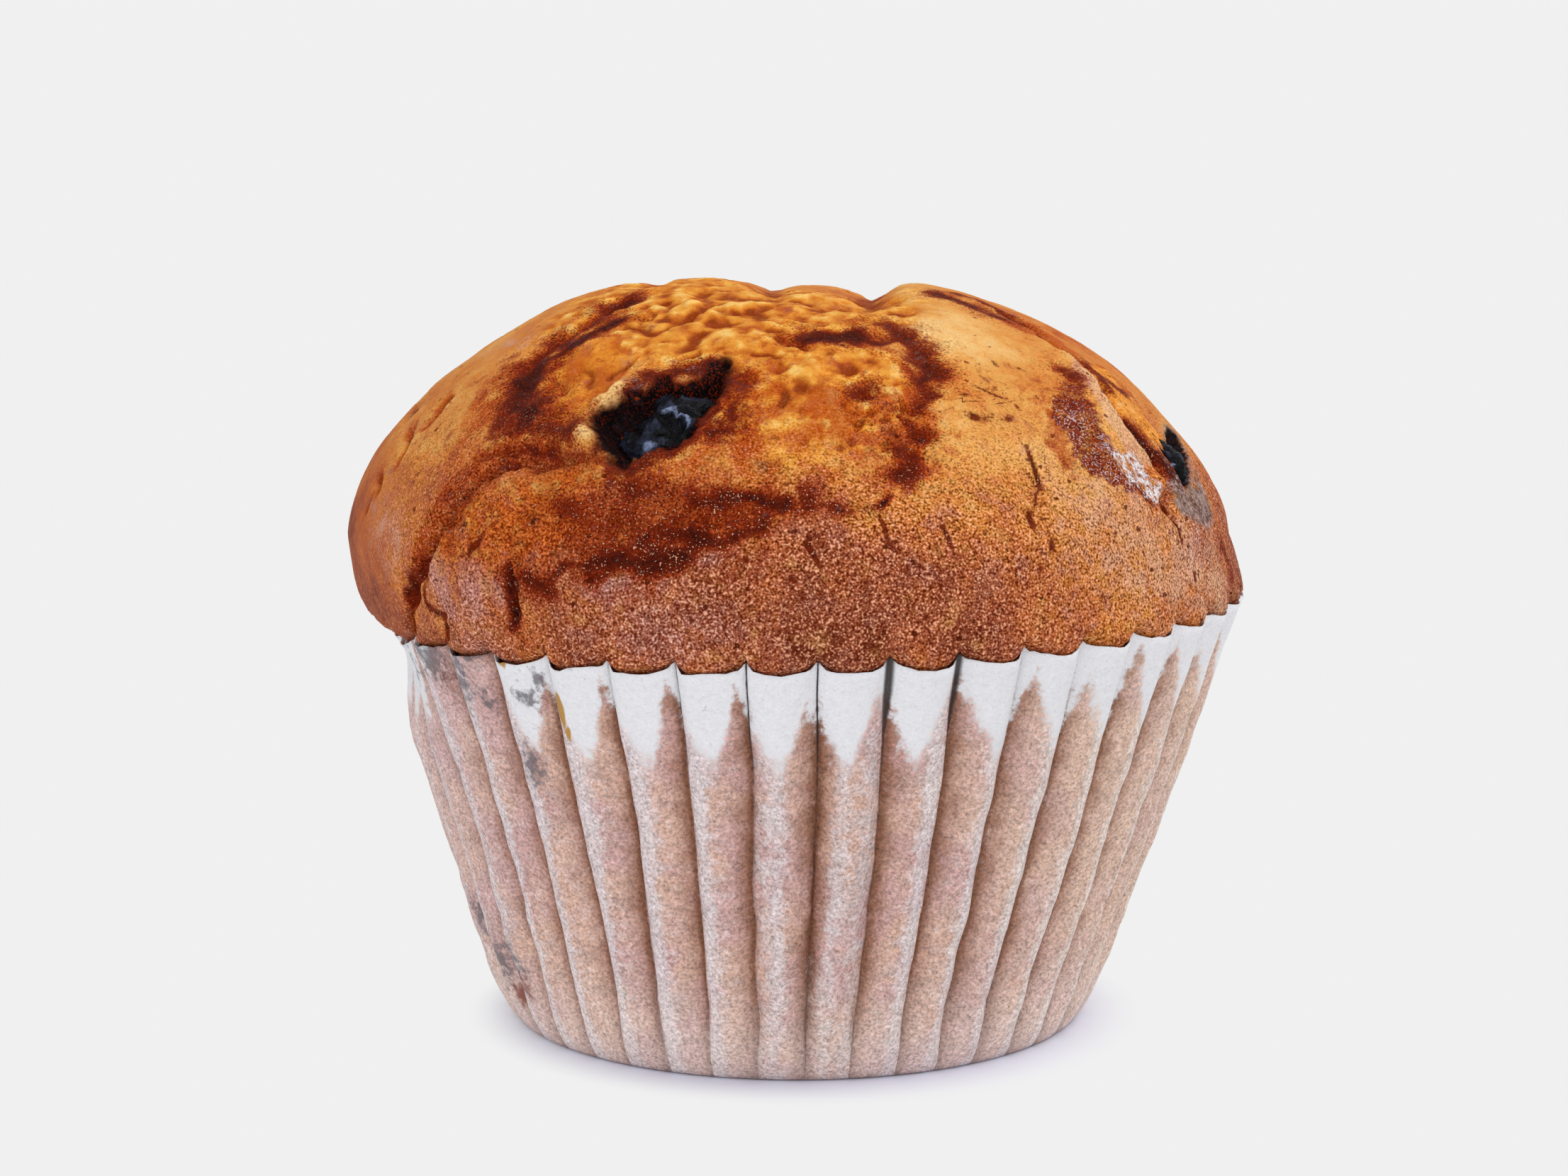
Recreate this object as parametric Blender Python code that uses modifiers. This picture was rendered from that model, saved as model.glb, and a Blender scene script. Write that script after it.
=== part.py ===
"""A baked berry muffin standing in its pleated paper case.

Four solids: the cake, the paper case round its foot, and two berries that lie in
pockets of the crust. Metres, +Z up. The muffin stands on z = 0, centred on the
origin, and its best side faces -Y.

The crust is laid out on a flat map. A point of the map is given in millimetres as
(right, away): its distance from the crown along the crust, and its compass bearing.
"""
import math

import bmesh
import bpy
import numpy as np
from mathutils import Vector, noise

MM = 0.001

# Paper case: a truncated cone with pleats.
CASE_BASE_RADIUS = 0.0267       # where the wall's line meets the table
CASE_FLARE = 0.327              # outward run for each metre of height
CASE_FOOT_TUCK = 0.0011         # how far the foot is drawn in under that line
CASE_FOOT_HEIGHT = 0.0016       # height over which the tuck dies out
CASE_RIM_HEIGHT = 0.0379        # to the top of a crease
CASE_RIM_TILT = 0.024           # rise of the rim for each metre towards +X
CASE_LEAN = 0.00075             # the upper wall sits this far towards +X of the foot
CASE_LEAN_HEIGHT = 0.028        # the lean is complete at this height
PLEATS = 42
PLEAT_PHASE = math.radians(2.7)   # first crease, turned from the front towards +X
PLEAT_DEPTH = 0.0009            # a crease lies this far inside the panels beside it
PLEAT_START = 0.006             # pleats reach their full depth at this height
RIM_SCALLOP = 0.0008            # a panel's top edge dips this far below the creases
COLUMNS_PER_PLEAT = 4
PAPER = 0.00035                 # wall of the solid, thicker than the real paper

# Cake: a body inside the case and a domed crust over it.
GAP = 0.0003                    # clearance between touching pieces
BODY_GAP = 0.00042              # the same, measured level at the sloping wall of the case
POCKET_GAP = 0.00045            # the same, measured from the middle of a berry
DOME_RADIUS = 0.0392
DOME_LEVEL = 0.0435             # height of the widest ring
DOME_RISE = 0.0225              # from the widest ring to the crown
DOME_ROUND_OUT = 2.15           # exponents of the dome's outline
DOME_ROUND_UP = 1.75
DOME_LEAN = 0.0005              # the dome sits this far towards -X
CHEEK_CURVE = 4.5               # inward curve of the crust below the widest ring, 1/m
LIP_LEVEL = 0.0389              # lower edge of the crust's bulge
NECK_LEVEL = 0.0384             # top of the body, just clear of the case
CRUST_STEP = 0.0008             # spacing of the rings before thinning
LIP_FADE = 0.003                # the relief dies out this close to the crust's lower edge
BODY_RINGS = 6                  # rings of the plain body inside the case
AROUND = 200                    # columns round the turned cake
CAKE_TRIANGLES = 4700

# Furrows in the crust: route on the map, half width and depth, all in millimetres.
FURROWS = (
    # the fold behind the swollen front left, and its run down the flank
    (((-20, -28.6), (-25, -29.6), (-30, -28.4), (-37.5, -29.6), (-43, -28), (-47, -27)), 1.5, 1.5),
    # edge of the skin left of the torn crown
    (((-15.4, -3), (-16.8, -11), (-19.3, -13.6), (-24, -16.8), (-24, -22.5), (-20, -28.6)), 1.3, 1.0),
    # cracks on the left flank
    (((-33, -12.5), (-36.5, -9.3), (-36.8, -3), (-35, 3)), 0.9, 0.8),
    (((-41.5, -15), (-41, -10), (-43, -4)), 0.9, 0.7),
    # short deep crack under the front left
    (((-30.8, -43), (-29.7, -39.4)), 0.8, 0.9),
    # notch through the far edge of the crown
    (((6.2, -12.5), (6.8, -7), (6.4, 0), (7.5, 15)), 1.5, 2.2),
    # rim of the swirl in front of the crown
    (((1.5, -21), (6, -21), (9, -19.5), (10.7, -25), (10.6, -30), (8.9, -36.8), (3, -41)), 1.1, 0.6),
    (((3, -41), (-3, -40.7), (-8, -39.8), (-14, -38), (-20, -37)), 1.1, 0.5),
    # split on the right shoulder, running down past the second berry
    (((17, 2), (19, -5), (23, -11), (25.5, -14.5), (28.5, -20), (33, -21.5), (38, -26.6)), 1.3, 1.3),
    # split across the back
    (((26, 14), (18, 22), (6, 27), (-7, 26), (-17, 20)), 1.4, 1.1),
    (((-30, 24), (-35, 30), (-33, 37)), 1.0, 0.8),
    (((9, 38), (13, 45), (21, 47)), 0.9, 0.7),
)

# Swellings and hollows: centre on the map, half sizes along and across, turn in
# degrees, and height, in millimetres.
SWELLINGS = (
    ((-31, -36), (10, 5), 15, 0.9),       # swollen front left
    ((-9, 2), (8, 12), 0, 0.3),           # crest of the torn crown
    ((2, 2), (8, 14), 0, -1.7),           # dip in the crown
    ((11, 2), (5, 10), 0, 0.6),           # edge of the skin right of the notch
    ((-19, 4), (8, 14), 0, 0.8),          # full left shoulder
    ((-43, -3), (11, 22), 0, 0.5),        # full left cheek
    ((41, -3), (12, 24), 0, -0.7),        # slack right cheek
    ((-11, -29.5), (7.5, 6.5), 0, -1.8),  # hollow round the front berry
    ((36.5, -17.5), (4, 6), 0, -1.2),     # hollow round the side berry
    ((28.5, -26.5), (4.5, 3), -40, 0.5),  # sugared lump beside it
    ((27, -17), (2.5, 6), 20, 0.6),       # flap of skin along the split
    ((2, -31), (8, 7), 0, 0.4),           # crumb inside the swirl
    ((8, 18), (12, 7), 15, 0.6),
    ((-12, 33), (9, 6), -20, 0.5),
)

# Open crumb of the torn crown: its middle and half sizes on the map, lump height and
# lump spacing, in millimetres. Finer lumps of half the height lie on the large ones.
TORN_MIDDLE = (-3.5, -10)
TORN_HALF = (15, 19)
TORN_LUMP = 0.75
TORN_SPACING = 4.5
TORN_FINER = 2.1

# Berries: place on the map, half sizes (along, across, deep), turn on the crust, and
# depth of the middle below the crust, in millimetres.
BERRIES = {
    "berry_front": ((-11, -30.3), (5.4, 4.7, 3.9), 20, 3.4),
    "berry_side": ((36.4, -17.2), (4.4, 3.4, 3.6), 80, 3.0),
}
BERRY_COLUMNS = 14
BERRY_RINGS = 9
BERRY_CREASE = 0.05             # depth of the skin's wrinkles as a share of the radius

SMOOTH_ANGLE = math.radians(50)


def remove_everything():
    for thing in list(bpy.context.scene.objects):
        bpy.data.objects.remove(thing, do_unlink=True)


def new_collection(name):
    group = bpy.data.collections.new(name)
    bpy.context.scene.collection.children.link(group)
    return group


def principled(name, colour, roughness):
    material = bpy.data.materials.new(name)
    material.use_nodes = True
    shader = material.node_tree.nodes["Principled BSDF"]
    shader.inputs["Base Color"].default_value = (*colour, 1.0)
    shader.inputs["Roughness"].default_value = roughness
    shader.inputs["Metallic"].default_value = 0.0
    material.diffuse_color = (*colour, 1.0)
    return material


def turned(name, outline, columns):
    """A mesh turned about Z from an outline of (radius, height), top to bottom."""
    edges = [(i, i + 1) for i in range(len(outline) - 1)]
    line = bpy.data.meshes.new(name + "_outline")
    line.from_pydata([(radius, 0.0, height) for radius, height in outline], edges, [])
    maker = bpy.data.objects.new(name + "_maker", line)
    bpy.context.scene.collection.objects.link(maker)
    screw = maker.modifiers.new("Turn", "SCREW")
    screw.axis = "Z"
    screw.angle = math.tau
    screw.steps = columns
    screw.render_steps = columns
    screw.use_merge_vertices = True
    screw.merge_threshold = 0.00001
    graph = bpy.context.evaluated_depsgraph_get()
    mesh = bpy.data.meshes.new_from_object(maker.evaluated_get(graph))
    mesh.name = name
    bpy.data.objects.remove(maker, do_unlink=True)
    return mesh


def points_of(mesh):
    points = np.empty(len(mesh.vertices) * 3)
    mesh.vertices.foreach_get("co", points)
    return points.reshape(-1, 3)


def set_points(mesh, points):
    mesh.vertices.foreach_set("co", points.ravel())
    mesh.update()


def add_part(name, mesh, group, material):
    part = bpy.data.objects.new(name, mesh)
    mesh.materials.clear()
    mesh.materials.append(material)
    mesh.shade_smooth()
    mesh.set_sharp_from_angle(angle=SMOOTH_ANGLE)
    group.objects.link(part)
    return part


# ---------------------------------------------------------------- paper case

def case_radius(height):
    """Outer radius of the panels at a height."""
    tuck = CASE_FOOT_TUCK * np.exp(-height / CASE_FOOT_HEIGHT)
    return CASE_BASE_RADIUS + CASE_FLARE * height - tuck


def pleat_depth(height):
    return PLEAT_DEPTH * np.clip(height / PLEAT_START, 0.0, 1.0)


def case_lean(height):
    share = np.clip(height / CASE_LEAN_HEIGHT, 0.0, 1.0)
    return CASE_LEAN * share * share * (3.0 - 2.0 * share)


def rim_height(across):
    """Height of a crease's top where it stands this far towards +X."""
    return CASE_RIM_HEIGHT + CASE_RIM_TILT * across


def case_outline():
    """Wall from rim to foot, then the base to its middle."""
    wall = [CASE_RIM_HEIGHT * share for share in (1.0, 0.83, 0.5, 0.2, 0.035, 0.0)]
    outline = [(float(case_radius(height)), height) for height in wall]
    outline += [(0.0, 0.0)]
    return outline


def pleated(mesh):
    """Draws the creases in, and scallops and tilts the rim."""
    points = points_of(mesh)
    radius = np.hypot(points[:, 0], points[:, 1])
    turn = np.arctan2(points[:, 1], points[:, 0])
    column = np.round(turn * PLEATS * COLUMNS_PER_PLEAT / math.tau)
    share = np.mod(column, COLUMNS_PER_PLEAT) / COLUMNS_PER_PLEAT
    height = points[:, 2]
    # panels widen towards the rim, so the columns beside a crease close in on it
    rise = height / CASE_RIM_HEIGHT
    pull = 0.02 + 0.06 * rise
    phase = share + pull * (np.isclose(share, 0.75).astype(float) - np.isclose(share, 0.25))
    angle = (column - share * COLUMNS_PER_PLEAT) / COLUMNS_PER_PLEAT + phase
    angle = angle * math.tau / PLEATS + PLEAT_PHASE
    crown = np.sin(math.pi * phase)
    inset = pleat_depth(height) * (1.0 - crown) ** 1.6
    radius = radius - inset * (radius > 0.0)
    x = radius * np.sin(angle) + case_lean(height)
    y = -radius * np.cos(angle)
    top = rim_height(x) - RIM_SCALLOP * crown * rise ** 8
    set_points(mesh, np.stack([x, y, height * top / CASE_RIM_HEIGHT], axis=1))


def make_case(group):
    mesh = turned("paper_case", case_outline(), PLEATS * COLUMNS_PER_PLEAT)
    pleated(mesh)
    paper = principled("greaseproof_paper", (0.56, 0.42, 0.38), 0.7)
    case = add_part("paper_case", mesh, group, paper)
    wall = case.modifiers.new("Paper", "SOLIDIFY")
    wall.thickness = PAPER
    wall.offset = -1.0
    wall.use_even_offset = True
    return case


# ---------------------------------------------------------------- cake

def dome_outline():
    """Crust from the crown over the widest ring to the lip, evenly spaced."""
    sweep = np.linspace(math.pi / 2, 0.0, 400)
    radius = DOME_RADIUS * np.cos(sweep) ** (2 / DOME_ROUND_OUT)
    height = DOME_LEVEL + DOME_RISE * np.sin(sweep) ** (2 / DOME_ROUND_UP)
    drop = np.linspace(0.0, DOME_LEVEL - LIP_LEVEL, 60)[1:]
    radius = np.append(radius, DOME_RADIUS - CHEEK_CURVE * drop ** 2)
    height = np.append(height, DOME_LEVEL - drop)
    radius[0] = 0.0
    travel = np.append(0.0, np.cumsum(np.hypot(np.diff(radius), np.diff(height))))
    even = np.linspace(0.0, travel[-1], round(travel[-1] / CRUST_STEP) + 1)
    return even, np.interp(even, travel, radius), np.interp(even, travel, height)


def body_radius(height):
    """The body clears the inside of every crease."""
    return case_radius(height) - pleat_depth(height) - PAPER - BODY_GAP


def cake_outline():
    _, radius, height = dome_outline()
    base = PAPER + GAP
    outline = list(zip(radius.tolist(), height.tolist()))
    levels = np.linspace(NECK_LEVEL, base, BODY_RINGS).tolist()
    outline += [(float(body_radius(level)), level) for level in levels]
    outline += [(0.0, base)]
    return outline


def distance_to_route(u, v, route):
    """Shortest distance on the map from each point to a route, and how far along."""
    best = np.full(u.shape, 1.0e9)
    along = np.zeros(u.shape)
    ends = list(zip(route[:-1], route[1:]))
    for index, (start, end) in enumerate(ends):
        du, dv = end[0] - start[0], end[1] - start[1]
        share = ((u - start[0]) * du + (v - start[1]) * dv) / (du * du + dv * dv)
        share = np.clip(share, 0.0, 1.0)
        gap = np.hypot(u - start[0] - share * du, v - start[1] - share * dv)
        nearer = gap < best
        best = np.where(nearer, gap, best)
        along = np.where(nearer, (index + share) / len(ends), along)
    return best, along


def lump(u, v, middle, half, turn=0.0):
    """A smooth hill, 1 at its middle and falling to nothing past its half sizes."""
    c, s = math.cos(math.radians(turn)), math.sin(math.radians(turn))
    a = ((u - middle[0]) * c + (v - middle[1]) * s) / half[0]
    b = ((v - middle[1]) * c - (u - middle[0]) * s) / half[1]
    return np.exp(-(a * a + b * b))


def crust_relief(u, v):
    """Height of the crust above the plain dome, all in millimetres."""
    relief = np.zeros(u.shape)
    for middle, half, turn, height in SWELLINGS:
        relief += height * lump(u, v, middle, half, turn)
    for route, half_width, depth in FURROWS:
        gap, along = distance_to_route(u, v, route)
        ends = np.sin(math.pi * np.clip(along, 0.06, 0.94)) ** 0.35
        relief -= depth * ends * np.exp(-(gap / half_width) ** 2)
    torn = np.clip(1.6 * lump(u, v, TORN_MIDDLE, TORN_HALF) - 0.55, 0.0, 1.0)
    spots = [Vector((x, y, 3.0)) / TORN_SPACING for x, y in zip(u.tolist(), v.tolist())]
    large = np.array([noise.noise(spot) for spot in spots])
    fine = np.array([noise.noise(spot * TORN_FINER) for spot in spots])
    return relief + torn * TORN_LUMP * (large + 0.5 * fine)


def risen(mesh):
    """Lifts and furrows the crust of the turned cake, and leans the dome."""
    points = points_of(mesh)
    travel, radius, height = dome_outline()
    x, y, z = points.T
    ring = np.hypot(x, y)
    on_crust = z > LIP_LEVEL - 0.00001
    slot = np.searchsorted(-height, -z[on_crust], side="left").clip(0, len(height) - 1)
    bearing = np.arctan2(y[on_crust], x[on_crust])
    u = travel[slot] * np.cos(bearing) / MM
    v = travel[slot] * np.sin(bearing) / MM
    # outward direction of the outline at each ring
    d_radius, d_height = np.gradient(radius), np.gradient(height)
    length = np.hypot(d_radius, d_height)
    out, up = -d_height / length, d_radius / length
    fade = np.clip((travel[-1] - travel[slot]) / LIP_FADE, 0.0, 1.0)
    relief = crust_relief(u, v) * MM * fade
    x[on_crust] += relief * out[slot] * np.cos(bearing)
    y[on_crust] += relief * out[slot] * np.sin(bearing)
    z[on_crust] += relief * up[slot]
    share = np.clip((z - NECK_LEVEL) / (DOME_LEVEL - NECK_LEVEL), 0.0, 1.0)
    lean = case_lean(z) * (1.0 - share) - DOME_LEAN * share
    z += CASE_RIM_TILT * x * (1.0 - share) * (z > 0.5 * NECK_LEVEL)
    x += lean
    set_points(mesh, np.stack([x, y, z], axis=1))


def on_the_crust(u, v):
    """Point of the plain dome under a place on the map, and its outward direction."""
    travel, radius, height = dome_outline()
    bearing = math.atan2(v, u)
    away = math.hypot(u, v) * MM
    ring = float(np.interp(away, travel, radius))
    level = float(np.interp(away, travel, height))
    step = 0.001
    fall = float(np.interp(away + step, travel, height) - np.interp(away - step, travel, height))
    run = float(np.interp(away + step, travel, radius) - np.interp(away - step, travel, radius))
    out = Vector((-fall * math.cos(bearing), -fall * math.sin(bearing), run)).normalized()
    point = Vector((ring * math.cos(bearing) - DOME_LEAN, ring * math.sin(bearing), level))
    return point, out


def berry_mesh(name, place, half, turn, depth, swell):
    """A wrinkled berry lying in the crust, larger all round by swell."""
    shape = bmesh.new()
    bmesh.ops.create_uvsphere(
        shape, u_segments=BERRY_COLUMNS, v_segments=BERRY_RINGS, radius=1.0)
    point, out = on_the_crust(*place)
    middle = point - out * depth * MM
    turned_to = out.to_track_quat("Z", "Y").to_matrix()
    angle = math.radians(turn)
    for corner in shape.verts:
        x, y, z = corner.co
        around = math.atan2(y, x)
        wrinkle = 1.0 - BERRY_CREASE * abs(math.sin(2.5 * around + 1.5 * z)) * (1.0 - z * z)
        x, y = x * half[0] * wrinkle * MM, y * half[1] * wrinkle * MM
        flat = Vector((x, y, z * half[2] * MM))
        flat += flat.normalized() * swell
        spun = Vector((
            flat.x * math.cos(angle) - flat.y * math.sin(angle),
            flat.x * math.sin(angle) + flat.y * math.cos(angle),
            flat.z))
        corner.co = middle + turned_to @ spun
    mesh = bpy.data.meshes.new(name)
    shape.to_mesh(mesh)
    shape.free()
    return mesh


def make_cake(group, cutters):
    mesh = turned("muffin", cake_outline(), AROUND)
    risen(mesh)
    crumb = principled("baked_crust", (0.50, 0.20, 0.06), 0.75)
    cake = add_part("muffin", mesh, group, crumb)
    thin = cake.modifiers.new("Thin", "DECIMATE")
    thin.ratio = CAKE_TRIANGLES / sum(len(face.vertices) - 2 for face in mesh.polygons)
    for name, (place, half, turn, depth) in BERRIES.items():
        pocket_mesh = berry_mesh(name + "_pocket", place, half, turn, depth, POCKET_GAP)
        pocket = bpy.data.objects.new(name + "_pocket", pocket_mesh)
        pocket.hide_render = True
        pocket.display_type = "WIRE"
        cutters.objects.link(pocket)
        cut = cake.modifiers.new("Pocket for " + name, "BOOLEAN")
        cut.operation = "DIFFERENCE"
        cut.solver = "EXACT"
        cut.object = pocket
    return cake


def make_berries(group):
    skin = principled("berry_skin", (0.012, 0.012, 0.022), 0.3)
    for name, (place, half, turn, depth) in BERRIES.items():
        mesh = berry_mesh(name, place, half, turn, depth, 0.0)
        add_part(name, mesh, group, skin)


def centre(parts, helpers):
    """Puts the middle of the whole outline over the origin."""
    graph = bpy.context.evaluated_depsgraph_get()
    corners = [Vector(corner) for part in parts for corner in part.evaluated_get(graph).bound_box]
    for axis in (0, 1):
        reach = [corner[axis] for corner in corners]
        middle = (min(reach) + max(reach)) / 2
        for thing in [*parts, *helpers]:
            points = points_of(thing.data)
            points[:, axis] -= middle
            set_points(thing.data, points)


remove_everything()
muffin_group = new_collection("muffin")
cutter_group = new_collection("cutters")
make_case(muffin_group)
make_cake(muffin_group, cutter_group)
make_berries(muffin_group)
centre(list(muffin_group.objects), list(cutter_group.objects))
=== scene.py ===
"""Looks of a baked berry muffin in its pleated paper case."""
import math
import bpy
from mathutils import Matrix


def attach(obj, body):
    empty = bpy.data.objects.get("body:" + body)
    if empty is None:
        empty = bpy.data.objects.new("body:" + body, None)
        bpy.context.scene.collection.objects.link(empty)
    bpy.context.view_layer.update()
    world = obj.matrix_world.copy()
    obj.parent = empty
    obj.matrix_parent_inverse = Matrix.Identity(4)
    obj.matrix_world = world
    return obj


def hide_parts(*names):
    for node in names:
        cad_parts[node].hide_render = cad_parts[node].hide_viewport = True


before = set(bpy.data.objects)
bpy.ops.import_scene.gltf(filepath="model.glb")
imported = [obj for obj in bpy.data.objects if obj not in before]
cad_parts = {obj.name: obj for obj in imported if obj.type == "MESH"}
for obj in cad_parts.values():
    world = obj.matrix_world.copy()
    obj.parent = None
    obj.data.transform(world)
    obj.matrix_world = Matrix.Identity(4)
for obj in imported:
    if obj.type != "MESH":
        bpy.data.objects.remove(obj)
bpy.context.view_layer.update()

import bpy
import numpy as np
from mathutils import Vector, noise

# sizes and places are in metres unless a comment says otherwise
MM = 0.001


# ---------------------------------------------------------------------------
# Camera and studio. A matt white board in front of pale paper, lit by a broad
# lamp above and a little behind on the right, a cool fill from the front left
# and a weak glow from all round.
# ---------------------------------------------------------------------------
CAMERA_PLACE = (0.0, -0.3214, 0.0895)
CAMERA_PITCH = math.radians(9.10)
CAMERA_YAW = math.radians(-0.20)
CAMERA_LENS = 83.3
CAMERA_NEAR = 0.01
SKY_COLOUR = (0.95, 0.975, 1.0, 1.0)
SKY_STRENGTH = 0.60
# each lamp: where it stands as seen from the muffin, strength, spread in degrees, colour
LAMPS = {
    "key_right": ((0.62, 0.12, 0.78), 1.35, 50, (1.0, 0.97, 0.93)),
    "fill_front": ((-0.25, -0.85, 0.45), 1.2, 90, (0.97, 0.98, 1.0))}
BACKDROP_COLOUR = "#F0F0F0"
BACKDROP_RADIUS = 3.0
BOARD_WHITE = 0.80
BOARD_RADIUS = 0.6
# the board is seen under the case, and fades into the backdrop between two radii
BOARD_MIDDLE = (0.0008, -0.0022, 0.0)
BOARD_FADE = (0.0240, 0.0308)


def hex_colour(code):
    """An sRGB hex code as a linear colour with full alpha."""
    parts = [int(code[i:i + 2], 16) / 255 for i in (1, 3, 5)]
    linear = [c / 12.92 if c <= 0.04045 else ((c + 0.055) / 1.055) ** 2.4 for c in parts]
    return (*linear, 1.0)


def add_node(tree, kind, sources=(), **settings):
    """Adds a node. sources maps an input to a value or to another node's output."""
    made = tree.nodes.new(kind)
    for name, value in settings.items():
        setattr(made, name, value)
    for name, value in dict(sources).items():
        if isinstance(value, bpy.types.NodeSocket):
            tree.links.new(value, made.inputs[name])
        else:
            made.inputs[name].default_value = value
    return made


def new_material(name):
    """An empty material and its node tree."""
    material = bpy.data.materials.new(name)
    material.use_nodes = True
    material.node_tree.nodes.clear()
    return material, material.node_tree


def put_in_scene(name, data):
    """Adds an object made of this mesh, lamp or camera to the scene."""
    made = bpy.data.objects.new(name, data)
    bpy.context.scene.collection.objects.link(made)
    return made


camera_data = bpy.data.cameras.new("camera")
camera_data.lens = CAMERA_LENS
camera_data.clip_start = CAMERA_NEAR
camera = put_in_scene("camera", camera_data)
camera.location = CAMERA_PLACE
look = Vector((
    math.sin(CAMERA_YAW) * math.cos(CAMERA_PITCH),
    math.cos(CAMERA_YAW) * math.cos(CAMERA_PITCH),
    -math.sin(CAMERA_PITCH)))
camera.rotation_euler = look.to_track_quat("-Z", "Y").to_euler()
bpy.context.scene.camera = camera
bpy.context.scene.view_settings.view_transform = "Standard"

world = bpy.data.worlds.new("soft_sky")
bpy.context.scene.world = world
world.use_nodes = True
sky = world.node_tree.nodes["Background"].inputs
sky["Color"].default_value = SKY_COLOUR
sky["Strength"].default_value = SKY_STRENGTH
for name, (towards, strength, spread, lamp_colour) in LAMPS.items():
    lamp_data = bpy.data.lights.new(name, "SUN")
    lamp_data.energy = strength
    lamp_data.angle = math.radians(spread)
    lamp_data.color = lamp_colour
    lamp = put_in_scene(name, lamp_data)
    lamp.rotation_euler = Vector(towards).to_track_quat("Z", "Y").to_euler()

# painted white board: matt, so that it throws light back evenly and shows no shine
bpy.ops.mesh.primitive_circle_add(vertices=96, radius=BOARD_RADIUS, fill_type="NGON")
table = bpy.context.active_object
table.name = "table"
sweep, tree = new_material("matt_white_board")
spot = add_node(tree, "ShaderNodeTexCoord").outputs["Object"]
from_middle = add_node(tree, "ShaderNodeVectorMath", {0: spot, 1: BOARD_MIDDLE},
                       operation="SUBTRACT")
reach = add_node(tree, "ShaderNodeVectorMath", {0: from_middle.outputs[0]}, operation="LENGTH")
fade = add_node(tree, "ShaderNodeMapRange", {
    "Value": reach.outputs["Value"], "From Min": BOARD_FADE[0], "From Max": BOARD_FADE[1]},
    interpolation_type="SMOOTHSTEP")
board = add_node(tree, "ShaderNodeBsdfDiffuse", {
    "Color": (BOARD_WHITE * 0.97, BOARD_WHITE, BOARD_WHITE * 1.14, 1.0)})
glow = add_node(tree, "ShaderNodeEmission", {"Color": hex_colour(BACKDROP_COLOUR)})
mix = add_node(tree, "ShaderNodeMixShader", {
    "Fac": fade.outputs[0], 1: board.outputs[0], 2: glow.outputs[0]})
add_node(tree, "ShaderNodeOutputMaterial", {"Surface": mix.outputs[0]})
table.data.materials.append(sweep)

# backdrop paper: an even pale grey that is seen but throws no light
bpy.ops.mesh.primitive_uv_sphere_add(segments=48, ring_count=24, radius=BACKDROP_RADIUS)
backdrop = bpy.context.active_object
backdrop.name = "backdrop"
backdrop.visible_diffuse = False
backdrop.visible_glossy = False
backdrop.visible_shadow = False
pale, tree = new_material("pale_backdrop")
glow = add_node(tree, "ShaderNodeEmission", {"Color": hex_colour(BACKDROP_COLOUR)})
add_node(tree, "ShaderNodeOutputMaterial", {"Surface": glow.outputs[0]})
backdrop.data.materials.append(pale)


# ---------------------------------------------------------------------------
# Paper case. Greaseproof baking paper, pressed from one round sheet into a
# pleated cup. Batter has pushed the pleats out into soft panels, and fat has
# soaked the paper brown up to a ragged line under the rim.
# ---------------------------------------------------------------------------
CASE_BASE_RADIUS = 0.0267
CASE_FLARE = 0.327
CASE_FOOT_TUCK = 0.0011
CASE_FOOT_HEIGHT = 0.0016
CASE_BASE_HUMP = 0.0004
CASE_RIM_HEIGHT = 0.0379
CASE_RIM_TILT = 0.024
CASE_LEAN = 0.00075
CASE_LEAN_HEIGHT = 0.028
PLEATS = 42
PLEAT_PHASE = math.radians(1.45)
PLEAT_DEPTH = 0.0010
PLEAT_START = 0.006
PLEAT_SEED = 4
CREASE_WANDER = 0.30
CREASE_CROWDING = 0.75
# the two creases on either side of this number have sprung open at the rim
SPRUNG_CREASE = 1.5
RIM_SCALLOP = 0.0007
RIM_NICK = 0.00035
RIM_UNEVEN = 0.0011
DENT_DEPTH = 0.0009
# at the far left the wall is squeezed in, more and more between these levels, and the rim
# drops
LEFT_SQUEEZE = 0.0024
LEFT_SQUEEZE_LEVELS = (0.026, 0.0355)
LEFT_DROP = 0.0016
CASE_COLUMNS = 14
CASE_ROWS = 64
CASE_BASE_SHARE = 0.12
PAPER_WELD = 0.00001
PAPER_THICKNESS = 0.0001
# a panel stands out furthest this share of the way across it, and swings this much to one
# side by the time that its angle has this sine; at the rim its bulge has this power
PANEL_TOP = 0.47
PANEL_SWING = 0.20
PANEL_SWUNG_AT = 0.40
PANEL_BULGE = 0.55
# the far left: the sines of the angles where it begins and where it is full
LEFT_BEGINS = 0.84
LEFT_FULL = 0.97
# mm below the rim: the soaked line between its tongues, and how far each tongue climbs
SOAKED_LINE = 8.6
TONGUE_CLIMB = 5.2
TONGUE_LUCK = 3.0
# each tongue is steeper on one side of its tip, which is this share of the panel
TONGUE_STEEP_SIDE = 0.38
# where fat has flooded the paper up to its rim: the sine of the angle, its width, and mm
FLOOD_PLACE = -0.76
FLOOD_WIDTH = 0.085
FLOOD_CLIMB = 11.0
FLOOD_TOP = 9.0
# mm from crease to crease halfway up the wall
PANEL_WIDTH = 5.3

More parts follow.
